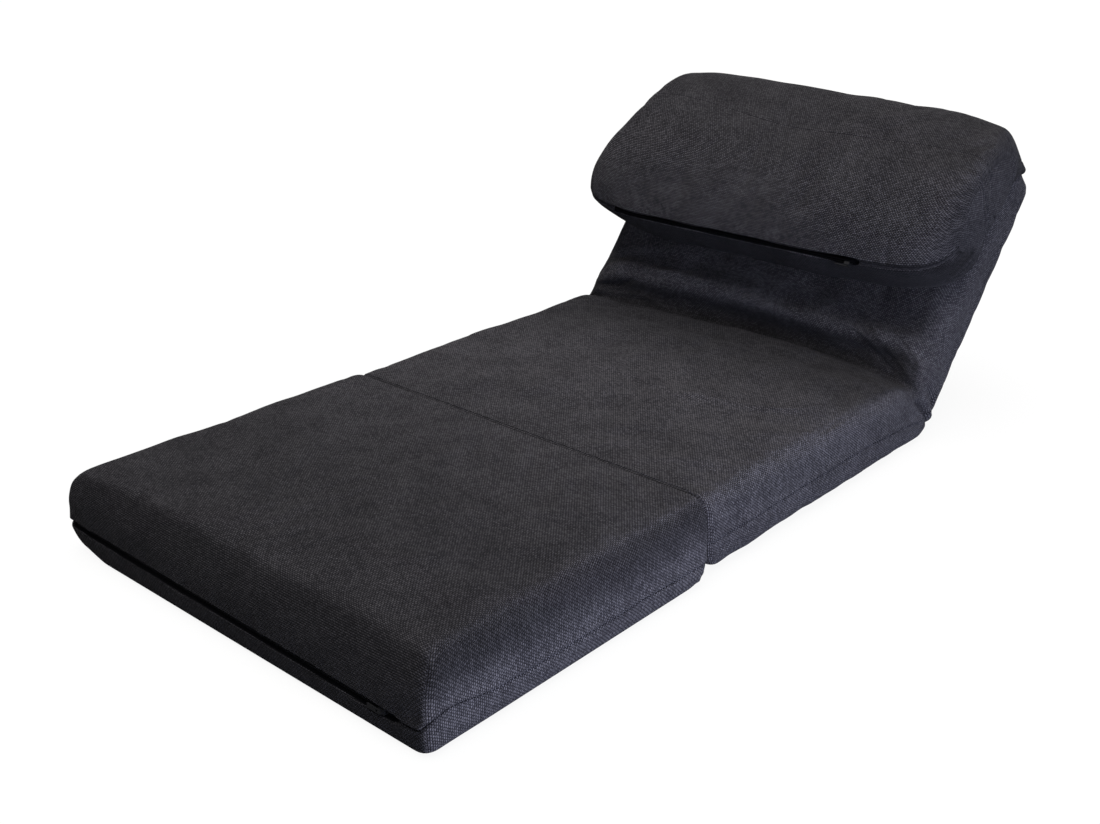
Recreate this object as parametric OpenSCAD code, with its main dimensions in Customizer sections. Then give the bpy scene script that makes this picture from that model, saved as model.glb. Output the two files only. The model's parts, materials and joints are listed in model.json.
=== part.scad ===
// Chair bed: a foot section, a seat and a reclining backrest, all low mattress cushions,
// and a pillow sewn to the top end of the backrest. Tube frames in the seat and the backrest
// turn on two ratchet hinges; the foot section folds on the seam across the top fabric.
// Origin on the floor under the middle of the resting chair bed, foot end towards -Y.

/* [Sections] */
// Width of the cushions
width = 680; // [660:10:720]
// Length of the foot section, front end to cross seam
foot_len = 500; // [470:10:500]
// Length of the seat section, cross seam to ratchet pivot
seat_len = 585; // [585:5:625]
// Length of the backrest, ratchet pivot to top end
back_len = 442; // [434:2:450]
// Height of the foot section along its edges
foot_h = 118; // [116:1:119]
// Height of the seat section along its edges
seat_h = 115; // [113:1:117]
// Height of the seam round the sides, where the bottom panel starts
side_seam_h = 47; // [44:1:50]
// Wall of a cover with its wadding
wall = 11; // [10:0.5:12]

/* [Backrest] */
// Angle of the backrest above the floor
back_angle = 50; // [30:5:60]
// Height of the ratchet pivot above the floor
pivot_h = 44; // [44:0.5:46]
// Backrest in front of the pivot
back_front = 68; // [66:1:70]
// Backrest behind the pivot, along its edges
back_rear = 39; // [37:0.5:39]

/* [Pillow] */
// Length of the pillow
pillow_w = 714; // [704:2:720]
// Distance from the pivot to the pillow's lower edge, along the backrest
pillow_low = 157; // [153:1:161]
// Distance from the pivot to the pillow's top, along the backrest
pillow_top = 506; // [500:1:510]
// Thickness of the pillow above its lower edge
pillow_t = 136; // [130:1:140]

/* [Frame] */
// Diameter of the frame tube
tube_d = 20; // [20:0.5:21]
// Wall of the frame tube
tube_wall = 1.2; // [1:0.1:1.2]
// Spacing of the two side tubes
frame_w = 600; // [590:2:604]
// Bend radius of the frame tube
bend_r = 60; // [50:5:70]
// Diameter of the cross tubes
cross_d = 16; // [14:1:18]
// Width of one strap of webbing
strap_w = 50; // [40:5:50]

/* [Ratchet] */
// Number of teeth in a full turn
teeth = 36; // [36:36:72]
// Radius over the teeth
tooth_tip_r = 25; // [24.5:0.1:25]
// Radius between the teeth
tooth_root_r = 21.5; // [21:0.1:22]
// Thickness of the toothed arm and of the pawl
arm_t = 4; // [3.5:0.1:4]
// Radius of the pivot rivet
pivot_r = 4; // [3.5:0.1:4.5]

/* [Zips] */
// Length of the foot section's zip
foot_zip_len = 624; // [600:4:630]
// Length of the pillow's zip
pillow_zip_len = 482; // [460:2:490]

/* [Hidden] */
$fn = 48;

cloth = "#2b2b31";
foam = "#e8dfc4";
steel = "#55585c";
zinc = "#b9bcc0";
black = "#141416";

// Rest gap between neighbouring soft pieces on different bodies
gap = 0.4;
// The whole rests with its middle over the origin: front nose to the pillow's rear corner
nose = 5;
rear_corner = [pillow_top - 34, -14];
rear_y = seat_len + rear_corner[0] * cos(back_angle) - rear_corner[1] * sin(back_angle);
seam_y = (foot_len + nose - rear_y) / 2;

// Fold axis of the foot section, just above both top edges
fold_z = foot_h + 1.6;
// Axis on which the pillow turns, at the rear edge of the backrest's top end
pillow_axis = [back_len + 4, -33];
// Front face of the backrest at its crown, on which the pillow lies
back_crown = 4;
pillow_face = back_front + back_crown + 1;

module at_seam() { translate([0, seam_y, 0]) children(); }
module at_pivot() { translate([0, seam_y + seat_len, pivot_h]) children(); }
// In the backrest's own frame Y runs up the backrest and Z out of its front
module on_back() { at_pivot() rotate([back_angle, 0, 0]) children(); }
module both_sides() { for (side = [-1, 1]) translate([side * frame_w / 2, 0, 0]) children(); }
module along_x(r, len) { rotate([0, 90, 0]) cylinder(r = r, h = len, center = true); }

// How far a rounded edge has drawn in, depth deep and high tall, at t from 0 (start) to 1 (end)
function round_in(t, depth) = depth * (1 - sqrt(max(0, 1 - min(1, max(0, t)) ^ 2)));
// Draw-in at height z of a wall from lo to hi, with [high, deep] rounding below and above
function edge_in(z, lo, hi, below, above) =
    round_in((lo + below[0] - z) / below[0], below[1]) + round_in((z - hi + above[0]) / above[0], above[1]);
// Fullness of a side that swells between its edges, and the pinch of a seam in it
function swell(z, lo, hi, depth) = depth * sin(180 * (z - lo) / (hi - lo));
function pinch(z, at, depth) = depth * max(0, 1 - abs(z - at) / 5);

// One ring of a cushion: a rectangle with round corners, drawn as 4 sides and 4 corner arcs
side_steps = 6;
corner_steps = 3;
ring_n = 4 * (side_steps + corner_steps);
function side_points(a, b, z) = [for (i = [0:side_steps - 1]) concat(a + (b - a) * i / side_steps, [z])];
function corner_points(c, r, from, z) =
    [for (i = [0:corner_steps - 1])
        let (t = from + 90 * i / corner_steps)
        [c[0] + r * cos(t), c[1] + r * sin(t), z]];
function ring(w, y0, y1, r0, r1, z) = concat(
    side_points([w, y0 + r0], [w, y1 - r1], z),
    corner_points([w - r1, y1 - r1], r1, 0, z),
    side_points([w - r1, y1], [r1 - w, y1], z),
    corner_points([r1 - w, y1 - r1], r1, 90, z),
    side_points([-w, y1 - r1], [-w, y0 + r0], z),
    corner_points([r0 - w, y0 + r0], r0, 180, z),
    side_points([r0 - w, y0], [w - r0, y0], z),
    corner_points([w - r0, y0 + r0], r0, 270, z));
// Rings that close a cushion's face towards its middle, raised by the crown
cap_rings = 4;
function cap(edge, crown) =
    let (mid = [for (k = [0:2]) (min([for (p = edge) p[k]]) + max([for (p = edge) p[k]])) / 2])
    [for (j = [1:cap_rings - 1])
        let (f = 1 - j / cap_rings)
        [for (p = edge) mid + (p - mid) * f + [0, 0, crown * (1 + cos(180 * f)) / 2]]];
function mid_of(edge, crown) =
    [for (k = [0:2]) (min([for (p = edge) p[k]]) + max([for (p = edge) p[k]])) / 2 + (k == 2 ? crown : 0)];

// A closed skin over a stack of rings, each n points, with a point at either end
module skin(rings, first, last, n) {
    points = concat([first], [for (r = rings) each r], [last]);
    top = len(rings) - 1;
    polyhedron(points, concat(
        [for (i = [0:n - 1]) [0, 1 + i, 1 + (i + 1) % n]],
        [for (k = [0:top - 1], i = [0:n - 1], half = [0, 1])
            let (a = 1 + k * n + i, b = 1 + k * n + (i + 1) % n)
            half == 0 ? [a, a + n, b + n] : [a, b + n, b]],
        [for (i = [0:n - 1]) [1 + top * n + i, len(points) - 1, 1 + top * n + (i + 1) % n]]), convexity = 6);
}

// A mattress cushion: side, front and rear give its outline at each level
module cushion(levels, side, front, rear, corner_front, corner_rear, crown_low, crown_high) {
    walls = [for (z = levels) ring(side(z), front(z), rear(z), corner_front, corner_rear, z)];
    low = walls[0];
    high = walls[len(walls) - 1];
    low_cap = crown_low == 0 ? [] : cap(low, crown_low);
    rings = concat([for (j = [len(low_cap) - 1:-1:0]) low_cap[j]], walls, cap(high, crown_high));
    skin(rings, mid_of(low, crown_low), mid_of(high, crown_high), ring_n);
}
function rise(lo, hi, seam) = [lo, lo + 1.5, lo + 5, lo + 12, lo + 24, seam - 5, seam, seam + 5,
    hi - 42, hi - 30, hi - 20, hi - 12, hi - 6, hi - 2.5, hi - 0.6, hi];

// Foot section
foot_core = [width - 32, foot_len - 46, foot_h - 11 - wall];
module foot_outer() {
    cushion(rise(1.2, foot_h, side_seam_h),
        function (z) width / 2 - 2 + swell(z, -40, foot_h + 8, 10) - pinch(z, side_seam_h, 2)
            - edge_in(z, 1.2, foot_h, [14, 5], [14, 9]),
        function (z) -foot_len - nose + pinch(z, side_seam_h, 3)
            + edge_in(z, 1.2, foot_h, [46, 8], [70, 44]),
        function (z) -1.2 - edge_in(z, 1.2, foot_h, [30, 24], [6, 5]),
        10, 10, 0, 4);
}
module foot_cover() {
    color(cloth) at_seam() difference() {
        foot_outer();
        translate([-foot_core[0] / 2, 30 - foot_len, 11]) cube(foot_core);
        on_foot_zip() cube([foot_zip_len + 8, 20, 13], center = true);
    }
}
module foot_foam() {
    color(foam) at_seam() translate([0.2 - foot_core[0] / 2, 30.2 - foot_len, 11.2])
        cube(foot_core - [0.4, 0.4, 0.4]);
}
// Anti-slip cloth under a section, sewn to the bottom panel
module base_cloth(y0, y1) {
    translate([-width / 2 + 26, y0, 0]) cube([width - 52, y1 - y0, 1.2]);
}
module foot_base_cloth() { color(black) at_seam() base_cloth(16 - foot_len, -36); }
module seat_base_cloth() { color(black) at_seam() base_cloth(54, seat_len - 34); }
// Rolled seam across the top fabric, on the fold axis
module cross_seam() {
    color(cloth) at_seam() translate([0, 0, fold_z]) along_x(1, width - 24);
}

// Zips run along X, with the outside of the fabric towards -Y
foot_zip_tilt = 0.9;
module on_foot_zip() {
    translate([-19, -foot_len + 2, 40]) rotate([0, foot_zip_tilt, 0]) children();
}
module zip_tapes(len) {
    for (side = [-1, 1]) translate([-len / 2, -0.4, side * 3.6 - 2.4]) cube([len, 0.8, 4.8]);
}
module zip_coil(len) { translate([0, -2, 0]) along_x(1.4, len - 6); }
slider_l = 9;
module zip_slider(x) {
    translate([x, -4.1, 0]) difference() {
        translate([0, 0.2, 0]) cube([slider_l, 5.4, 7.4], center = true);
        translate([0, 1.9, 0]) cube([slider_l + 1, 3.4, 4.4], center = true);
    }
    // Bridge that holds the pull tab
    translate([x, -8.4, 0]) difference() {
        translate([0, 0.2, 0]) cube([6, 3.2, 2.6], center = true);
        cylinder(r = 0.9, h = 6, center = true);
    }
}
module zip_pull(x) {
    translate([x, -8.4, 0]) {
        cylinder(r = 0.8, h = 5.6, center = true);
        for (side = [-1, 1]) translate([-6, -0.8, side * 2.4 - 0.6]) cube([6, 1.6, 1.2]);
        translate([-20, -0.8, -3]) cube([14, 1.6, 6]);
    }
}
foot_slider_x = foot_zip_len / 2 - 12;
module foot_zip_tapes() { color(black) at_seam() on_foot_zip() zip_tapes(foot_zip_len); }
module foot_zip_coil() { color(black) at_seam() on_foot_zip() zip_coil(foot_zip_len); }
module foot_zip_slider() { color(steel) at_seam() on_foot_zip() zip_slider(foot_slider_x); }
module foot_zip_pull() { color(steel) at_seam() on_foot_zip() zip_pull(foot_slider_x); }

// Seat section, open towards the fold, where its end is mitred for the backrest to come up
seat_inner = width - 32;
seat_low = 11;
module seat_outer() {
    cushion(rise(1.2, seat_h, side_seam_h),
        function (z) width / 2 - 4 + swell(z, -40, seat_h + 8, 7) - pinch(z, side_seam_h, 2)
            - edge_in(z, 1.2, seat_h, [28, 18], [14, 9]),
        function (z) 1.2 + edge_in(z, 1.2, seat_h, [40, 48], [6, 5]),
        function (z) seat_len - max(30, z - pivot_h + 2),
        12, 2, 0, 3);
}
module seat_cover() {
    color(cloth) at_seam() difference() {
        seat_outer();
        translate([-seat_inner / 2, 16, seat_low]) cube([seat_inner, seat_len, seat_h - seat_low - wall]);
    }
}
tube_r = tube_d / 2;
web_t = 2;
web_z = tube_r + 0.3;
module seat_top_foam() {
    low = pivot_h + web_z + web_t + 0.3;
    high = seat_h - wall - 0.2;
    color(foam) at_seam() rotate([90, 0, 90]) translate([0, 0, -seat_inner / 2 + 0.2])
        linear_extrude(seat_inner - 0.4)
        polygon([[16.2, low], [seat_len - 66, low], [seat_len + pivot_h - high - 4, high], [16.2, high]]);
}
module seat_bottom_foam() {
    color(foam) at_seam() translate([-seat_inner / 2 + 0.2, 16.2, seat_low + 0.2])
        cube([seat_inner - 0.4, seat_len - 84, pivot_h - web_z - web_t - seat_low - 0.5]);
}

// Bent tube from one leg's end round to the other's, legs towards +Y, cross bar at y = 0
module hoop_path(r, legs) {
    half = frame_w / 2;
    for (side = [-1, 1]) {
        translate([side * half, bend_r, 0]) rotate([-90, 0, 0]) cylinder(r = r, h = legs - bend_r);
        translate([side * (half - bend_r), bend_r, 0]) rotate([0, 0, side < 0 ? 180 : 270])
            rotate_extrude(angle = 90) translate([bend_r, 0]) circle(r);
    }
    along_x(r, frame_w - 2 * bend_r);
}
arm_rivet_y = 18;
rivet_r = 2.5;
module tube_hoop(legs) {
    difference() {
        hoop_path(tube_r, legs);
        hoop_path(tube_r - tube_wall, legs + 1);
        translate([0, legs - arm_rivet_y, 0]) along_x(rivet_r + 0.1, frame_w + tube_d + 2);
    }
}
seat_hoop_y = 60;
leg_end = 65;
module seat_frame_hoop() {
    color(steel) at_pivot() translate([0, seat_hoop_y - seat_len, 0])
        tube_hoop(seat_len - seat_hoop_y - leg_end);
}
// Straight tube between the side tubes, its ends shaped to them for the weld
module cross_tube(y) {
    translate([0, y, 0]) difference() {
        along_x(cross_d / 2, frame_w - 8);
        along_x(cross_d / 2 - tube_wall, frame_w);
        both_sides() rotate([90, 0, 0]) cylinder(r = tube_r + 0.05, h = 2 * cross_d, center = true);
    }
}
module seat_cross_tubes() { color(steel) at_pivot() for (y = [-390, -230]) cross_tube(y); }
// Elastic strap from side tube to side tube, turned round both of them
module strap(y) {
    translate([0, y, 0]) {
        translate([-frame_w / 2, -strap_w / 2, web_z]) cube([frame_w, strap_w, web_t]);
        for (side = [-1, 1]) translate([side * frame_w / 2, 0, 0]) rotate([90, 0, 0]) difference() {
            cylinder(r = web_z + web_t, h = strap_w, center = true);
            cylinder(r = web_z, h = strap_w + 2, center = true);
            translate([-side * 30, 0, 0]) cube([60, 60, strap_w + 2], center = true);
        }
    }
}
module seat_webbing() { color(black) at_pivot() for (y = [-450, -345, -275, -185, -115]) strap(y); }

// Flexible stretch of the cover round the hinge, between the seat's end and the backrest's start
function back_point(s, h) = [seat_len + s * cos(back_angle) - h * sin(back_angle),
                             pivot_h + s * sin(back_angle) + h * cos(back_angle)];
back_start = 46;
function back_begin(h) = max(back_start, h + 2);
fold_s = (seat_h - pivot_h - back_front * cos(back_angle)) / sin(back_angle);
fold_line = back_point(fold_s, back_front)[0];
fold_outline = concat(
    [[seat_len - 29.6, 1.2], [seat_len - 15, 1.2]],
    [for (t = [-90:12.5:-40]) [seat_len, pivot_h] + (pivot_h - 1.2) * [cos(t), sin(t)]],
    [back_point(22, -back_rear - 4), back_point(back_start - gap, -back_rear)],
    [back_point(back_start - gap, 0)],
    [back_point(back_start - gap, 44), back_point(back_front + 1.2, back_front - 0.4)],
    [back_point(fold_s + 26, back_front + 1), back_point(fold_s + 16, back_front - 4)],
    [back_point(fold_s + 8, back_front)],
    [[fold_line, seat_h - 5], [fold_line - 10, seat_h], [fold_line - 24, seat_h + 0.5]],
    [[seat_len - seat_h + pivot_h - 1.4, seat_h - 0.2], [seat_len - 30.3, pivot_h + 29]],
    [[seat_len - 29.6, 68], [seat_len - 29.6, 30]]);
module fold_cover() {
    color(cloth) at_seam() rotate([90, 0, 90]) difference() {
        linear_extrude(width - 8, center = true) polygon(fold_outline);
        linear_extrude(seat_inner, center = true) {
            translate([seat_len, pivot_h]) circle(r = 33);
            translate([seat_len - 80, pivot_h - 24]) square([80, 56]);
            translate([seat_len, pivot_h]) rotate(back_angle) translate([0, -16]) square([80, 32]);
        }
    }
}

// Ratchet hinge, drawn in the plane of its plates: X along the seat towards the backrest, Y up
pawl_pin = [-38, 20];
pawl_pin_r = 2.5;
module plates_at(side, offset, t) {
    translate([side * frame_w / 2 + offset, 0, 0]) rotate([90, 0, 90])
        linear_extrude(t, center = true) children();
}
module seat_arm_shape() {
    difference() {
        union() {
            circle(r = 30);
            polygon([[-14, 26], [-38, 29], [-47, 20], [-58, 7.5], [-98, 7.5],
                     [-98, -7.5], [-52, -7.5], [-14, -26.5]]);
            translate(pawl_pin) circle(r = 9);
        }
        circle(r = pivot_r + 0.05);
        translate(pawl_pin) circle(r = pawl_pin_r + 0.05);
        translate([-leg_end - arm_rivet_y, 0]) circle(r = rivet_r + 0.1);
    }
}
plate_t = 2;
plate_off = arm_t / 2 + 0.25 + plate_t / 2;
module seat_arms(side) {
    at_pivot() for (o = [-plate_off, plate_off]) plates_at(side, o, plate_t) seat_arm_shape();
}
module seat_arms_left() { color(zinc) seat_arms(-1); }
module seat_arms_right() { color(zinc) seat_arms(1); }

tooth_pitch = 360 / teeth;
// Teeth leave this angle free to either side of the arm
arm_free = 22;
// One tooth from root to root, as [part of the pitch, radius]; a gap lies at every whole pitch
tooth = [[0.22, tooth_root_r], [0.36, tooth_tip_r], [0.64, tooth_tip_r], [0.78, tooth_root_r]];
first_tooth = ceil(arm_free / tooth_pitch - tooth[0][0]);
last_tooth = floor((360 - arm_free) / tooth_pitch - tooth[3][0]);
arm_half_w = 7.5;
module toothed_arm(side) {
    far = leg_end + 33;
    on_back() plates_at(side, 0, arm_t) difference() {
        polygon(concat(
            [for (k = [first_tooth:last_tooth], p = tooth)
                let (t = (k + p[0]) * tooth_pitch)
                p[1] * [cos(t), sin(t)]],
            [[tooth_root_r, -arm_half_w], [far, -arm_half_w]],
            [[far, arm_half_w], [tooth_root_r, arm_half_w]]));
        circle(r = pivot_r + 0.06);
        translate([leg_end + arm_rivet_y, 0]) circle(r = rivet_r + 0.1);
    }
}
module toothed_arm_left() { color(zinc) toothed_arm(-1); }
module toothed_arm_right() { color(zinc) toothed_arm(1); }

// Rivet along X, its head and its closed end outside the plates it holds
module rivet(r, grip, head_r, head_t) {
    along_x(r, grip + 2 * head_t);
    for (side = [-1, 1]) translate([side * (grip + head_t) / 2, 0, 0]) along_x(head_r, head_t);
}
plates_w = 2 * plate_off + plate_t;
module pivot_rivets() { color(zinc) at_pivot() both_sides() rivet(pivot_r, plates_w + 0.4, 8, 2); }
module arm_rivet() { rivet(rivet_r, tube_d + 0.2, 4.5, 1.4); }
module seat_arm_rivets() {
    color(zinc) at_pivot() translate([0, -leg_end - arm_rivet_y, 0]) both_sides() arm_rivet();
}
module back_arm_rivets() {
    color(zinc) on_back() translate([0, leg_end + arm_rivet_y, 0]) both_sides() arm_rivet();
}
module pawl_pins() {
    color(zinc) at_pivot() translate([0, pawl_pin[0], pawl_pin[1]]) both_sides()
        rivet(pawl_pin_r, plates_w + 0.2, 4, 1.2);
}
// Pawl, its nose held just clear of the teeth; it drops into a gap between them
nose_angle = 183.3;
nose_lift = 0.7;
pawl_t = arm_t;
module pawl(side) {
    tip = (tooth_tip_r + nose_lift) * [cos(nose_angle), sin(nose_angle)];
    at_pivot() plates_at(side, 0, pawl_t) difference() {
        union() {
            translate(pawl_pin) circle(r = 7);
            polygon([tip + [0, 0.45], tip + [-3, 1.3], pawl_pin + [6.4, -2], pawl_pin + [-5, -5],
                tip + [-7, -3.4], tip + [-2.6, -1.1], tip + [0, -0.45]]);
        }
        translate(pawl_pin) circle(r = pawl_pin_r + 0.06);
    }
}
module pawl_left() { color(steel) pawl(-1); }
module pawl_right() { color(steel) pawl(1); }
// Wire spring that presses on the pawl's back, hooked on the rivet side of the arm plates
module pawl_spring(side) {
    at_pivot() plates_at(side, 0, 1.2) polygon([[-56, 0], [-54.8, 0], [-46.8, 10], [-47.6, 10.8]]);
}
module pawl_spring_left() { color(zinc) pawl_spring(-1); }
module pawl_spring_right() { color(zinc) pawl_spring(1); }

// Backrest
back_seam = -9;
module back_outer() {
    cushion(rise(-back_rear, back_front, back_seam),
        function (h) width / 2 - 3 + swell(h, -back_rear - 20, back_front + 10, 7) - pinch(h, back_seam, 1.5)
            - edge_in(h, -back_rear, back_front, [20, 15], [16, 11]),
        function (h) back_begin(h),
        function (h) back_len - edge_in(h, -back_rear, back_front, [22, 14], [48, 36]),
        2, 22, -4, back_crown);
}
back_inner_low = -back_rear + 7;
back_inner_high = back_front - wall;
module back_cover() {
    color(cloth) on_back() difference() {
        back_outer();
        translate([-seat_inner / 2, 0, back_inner_low])
            cube([seat_inner, back_len - 30, back_inner_high - back_inner_low]);
    }
}
module back_front_foam() {
    low = web_z + web_t + 0.3;
    color(foam) on_back() rotate([90, 0, 90]) translate([0, 0, -seat_inner / 2 + 0.2])
        linear_extrude(seat_inner - 0.4)
        polygon([[back_start + 6, low], [back_len - 30.2, low], [back_len - 30.2, back_inner_high - 0.2],
                 [back_begin(back_inner_high), back_inner_high - 0.2], [back_start + 6, 44]]);
}
module back_rear_foam() {
    color(foam) on_back() translate([-seat_inner / 2 + 0.2, back_start + 6, back_inner_low + 0.2])
        cube([seat_inner - 0.4, back_len - back_start - 36.2, -web_z - web_t - back_inner_low - 0.5]);
}
back_hoop_y = back_len - 40;
module back_frame_hoop() {
    color(steel) on_back() translate([0, back_hoop_y, 0]) rotate([0, 0, 180])
        tube_hoop(back_hoop_y - leg_end);
}
module back_cross_tubes() { color(steel) on_back() for (y = [134, 265]) cross_tube(y); }
module back_webbing() { color(black) on_back() for (y = [172, 229, 310]) strap(y); }

// Pillow, worked out in the backrest's frame as [distance up the backrest, distance off its front]
function curve_point(p, i, t) =
    let (n = len(p), a = p[(i + n - 1) % n], b = p[i], c = p[(i + 1) % n], d = p[(i + 2) % n])
    (2 * b + (c - a) * t + (2 * a - 5 * b + 4 * c - d) * t ^ 2 + (3 * b - a - 3 * c + d) * t ^ 3) / 2;
function closed_curve(p, steps) =
    [for (i = [0:len(p) - 1], j = [0:steps - 1]) curve_point(p, i, j / steps)];
pillow_section = [
    [pillow_low + 45, pillow_face], [pillow_low + 9, pillow_face + 14], [pillow_low + 1, pillow_face + 42],
    [pillow_low, pillow_face + 98], [pillow_low + 21, pillow_face + 122],
    [pillow_low + 63, pillow_face + pillow_t], [pillow_low + 131, pillow_face + pillow_t + 4],
    [pillow_low + 227, pillow_face + 110],
    [pillow_top - 36, pillow_face + 62], [pillow_top, pillow_face + 8], [pillow_top - 6, 24],
    rear_corner, [back_len + 8, -12], [back_len + 3, 20], [back_len - 4, 58],
    [back_len - 26, pillow_face], [pillow_low + 165, pillow_face]];
pillow_mid = [pillow_low + 165, pillow_face + 60];
// The section's length runs from its lower edge to its rear corner
pillow_tilt = atan2(rear_corner[1] - pillow_face - 40, rear_corner[0] - pillow_low);
function turned(p, t) = [p[0] * cos(t) - p[1] * sin(t), p[0] * sin(t) + p[1] * cos(t)];
// Size of the section on the way out to an end, along and across its length
pillow_end_at = 0.94;
function end_close(u) =
    u < pillow_end_at ? 1 : 0.6 + 0.4 * sqrt(max(0, 1 - ((u - pillow_end_at) / (1 - pillow_end_at)) ^ 2));
function long_part(u) = (1 - 0.16 * u ^ 6) * end_close(u);
function thick_part(u) = (1 - 0.14 * u ^ 6) * end_close(u);
// The filling has sunk a little from the top
pillow_sag = 6;
function sagged(q) =
    [q[0] - pillow_sag * max(0, q[0] - pillow_mid[0]) / (pillow_top - pillow_mid[0]), q[1]];
// It lies on the backrest's front and on its top end, a little further off where it is pressed most
top_end = back_len + 1;
press = 0.02;
function rested(q) =
    let (in_end = top_end - q[0], in_face = pillow_face - q[1])
    in_end <= 0 || in_face <= 0 ? q :
    in_face < in_end ? [q[0], pillow_face + press * in_face] : [top_end + press * in_end, q[1]];
pillow_stations = [1, 0.997, 0.985, 0.965, 0.94, 0.89, 0.8, 0.68, 0.5, 0.26];
pillow_across = concat(pillow_stations, [for (i = [len(pillow_stations) - 1:-1:0]) -pillow_stations[i]]);
module pillow_outer() {
    section = [for (p = closed_curve(pillow_section, 3)) rested(sagged(p))];
    turned_section = [for (p = section) turned(p - pillow_mid, -pillow_tilt)];
    far = max([for (p = turned_section) p[0]]);
    near = min([for (p = turned_section) p[0]]);
    high = max([for (p = turned_section) p[1]]);
    intersection() {
        rotate([90, 0, 90]) linear_extrude(pillow_w, center = true) polygon(section);
        translate([0, pillow_mid[0], pillow_mid[1]]) rotate([pillow_tilt, 0, 0]) {
            intersection() {
                linear_extrude(500, center = true) polygon(concat(
                    [for (u = pillow_across) [u * pillow_w / 2, (far + 0.5) * long_part(abs(u))]],
                    [for (i = [len(pillow_across) - 1:-1:0]) let (u = pillow_across[i])
                        [u * pillow_w / 2, (near - 0.5) * long_part(abs(u))]]));
                rotate([90, 0, 0]) linear_extrude(600, center = true) polygon(concat(
                    [for (u = pillow_across) [u * pillow_w / 2, (high + 0.5) * thick_part(abs(u))]],
                    [[-pillow_w / 2, -200], [pillow_w / 2, -200]]));
            }
        }
    }
}
// The filling's own section, inside the wadding, drawn in by less on every side
core_section = [[pillow_low + 45, pillow_face + 18], [pillow_low + 24, pillow_face + 40],
                [pillow_low + 24, pillow_face + 94], [pillow_low + 60, pillow_face + 118],
                [pillow_low + 125, pillow_face + 122], [pillow_low + 229, pillow_face + 84],
                [pillow_low + 251, pillow_face + 18]];
core_mid = [pillow_low + 135, pillow_face + 70];
module pillow_core(less) {
    rotate([90, 0, 90]) linear_extrude(pillow_w - 110 - less, center = true)
        polygon([for (p = core_section) p + less * (core_mid - p) / norm(core_mid - p)]);
}
module on_pillow_zip() {
    translate([-26, pillow_low + 4, pillow_face + 102]) children();
}
module pillow_cover() {
    color(cloth) on_back() difference() {
        pillow_outer();
        pillow_core(0);
        on_pillow_zip() cube([pillow_zip_len + 8, 18, 12], center = true);
    }
}
module pillow_filling() {
    color("white") on_back() pillow_core(0.4);
}
// Strip of fabric that joins the pillow to the backrest's rear top edge, rolled round its axis
module pillow_flap() {
    color(cloth) on_back() {
        translate([0, pillow_axis[0], pillow_axis[1]]) along_x(1.2, pillow_w - 130);
        rotate([90, 0, 90]) linear_extrude(pillow_w - 130, center = true)
            polygon([pillow_axis, pillow_axis + [1, -0.8],
                     rear_corner + [-8, -4.6], rear_corner + [-11, -3.8]]);
    }
}
pillow_slider_x = pillow_zip_len / 2 - 12;
module pillow_zip_tapes() { color(black) on_back() on_pillow_zip() zip_tapes(pillow_zip_len); }
module pillow_zip_coil() { color(black) on_back() on_pillow_zip() zip_coil(pillow_zip_len); }
module pillow_zip_slider() { color(steel) on_back() on_pillow_zip() zip_slider(pillow_slider_x); }
module pillow_zip_pull() { color(steel) on_back() on_pillow_zip() zip_pull(pillow_slider_x); }

foot_cover();
foot_base_cloth();
foot_foam();
cross_seam();
foot_zip_tapes();
foot_zip_coil();
foot_zip_slider();
foot_zip_pull();
seat_cover();
seat_base_cloth();
seat_top_foam();
seat_bottom_foam();
seat_frame_hoop();
seat_cross_tubes();
seat_webbing();
fold_cover();
seat_arms_left();
seat_arms_right();
pivot_rivets();
seat_arm_rivets();
pawl_pins();
pawl_left();
pawl_right();
pawl_spring_left();
pawl_spring_right();
back_cover();
back_front_foam();
back_rear_foam();
back_frame_hoop();
back_cross_tubes();
back_webbing();
toothed_arm_left();
toothed_arm_right();
back_arm_rivets();
pillow_cover();
pillow_filling();
pillow_flap();
pillow_zip_tapes();
pillow_zip_coil();
pillow_zip_slider();
pillow_zip_pull();
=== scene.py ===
import json
import math
from functools import partial

import bpy
import numpy as np
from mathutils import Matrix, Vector


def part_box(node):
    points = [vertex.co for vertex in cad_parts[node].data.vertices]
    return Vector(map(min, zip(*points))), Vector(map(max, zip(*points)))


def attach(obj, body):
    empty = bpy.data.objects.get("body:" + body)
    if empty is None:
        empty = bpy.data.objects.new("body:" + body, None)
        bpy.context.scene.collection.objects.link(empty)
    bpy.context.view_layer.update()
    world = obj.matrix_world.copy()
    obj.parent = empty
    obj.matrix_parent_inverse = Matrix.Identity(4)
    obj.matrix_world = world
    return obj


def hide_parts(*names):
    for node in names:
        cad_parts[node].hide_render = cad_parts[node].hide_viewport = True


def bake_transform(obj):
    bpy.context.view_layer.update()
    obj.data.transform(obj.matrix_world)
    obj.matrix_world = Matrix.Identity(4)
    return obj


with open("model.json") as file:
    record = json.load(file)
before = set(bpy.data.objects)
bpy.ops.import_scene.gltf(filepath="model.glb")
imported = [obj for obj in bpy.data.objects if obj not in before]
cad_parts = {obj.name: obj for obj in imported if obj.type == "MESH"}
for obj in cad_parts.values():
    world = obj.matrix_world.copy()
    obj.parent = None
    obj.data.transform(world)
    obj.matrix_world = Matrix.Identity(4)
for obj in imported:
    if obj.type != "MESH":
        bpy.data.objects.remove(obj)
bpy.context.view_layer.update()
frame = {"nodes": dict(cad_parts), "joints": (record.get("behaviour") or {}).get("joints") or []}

# Chair bed: foot cushion, seat and backrest in one cover across the fold, and a pillow.
nodes = frame["nodes"]
joints = {j["name"]: j for j in frame["joints"]}
scene = bpy.context.scene
scene.view_settings.view_transform = "Standard"

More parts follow.
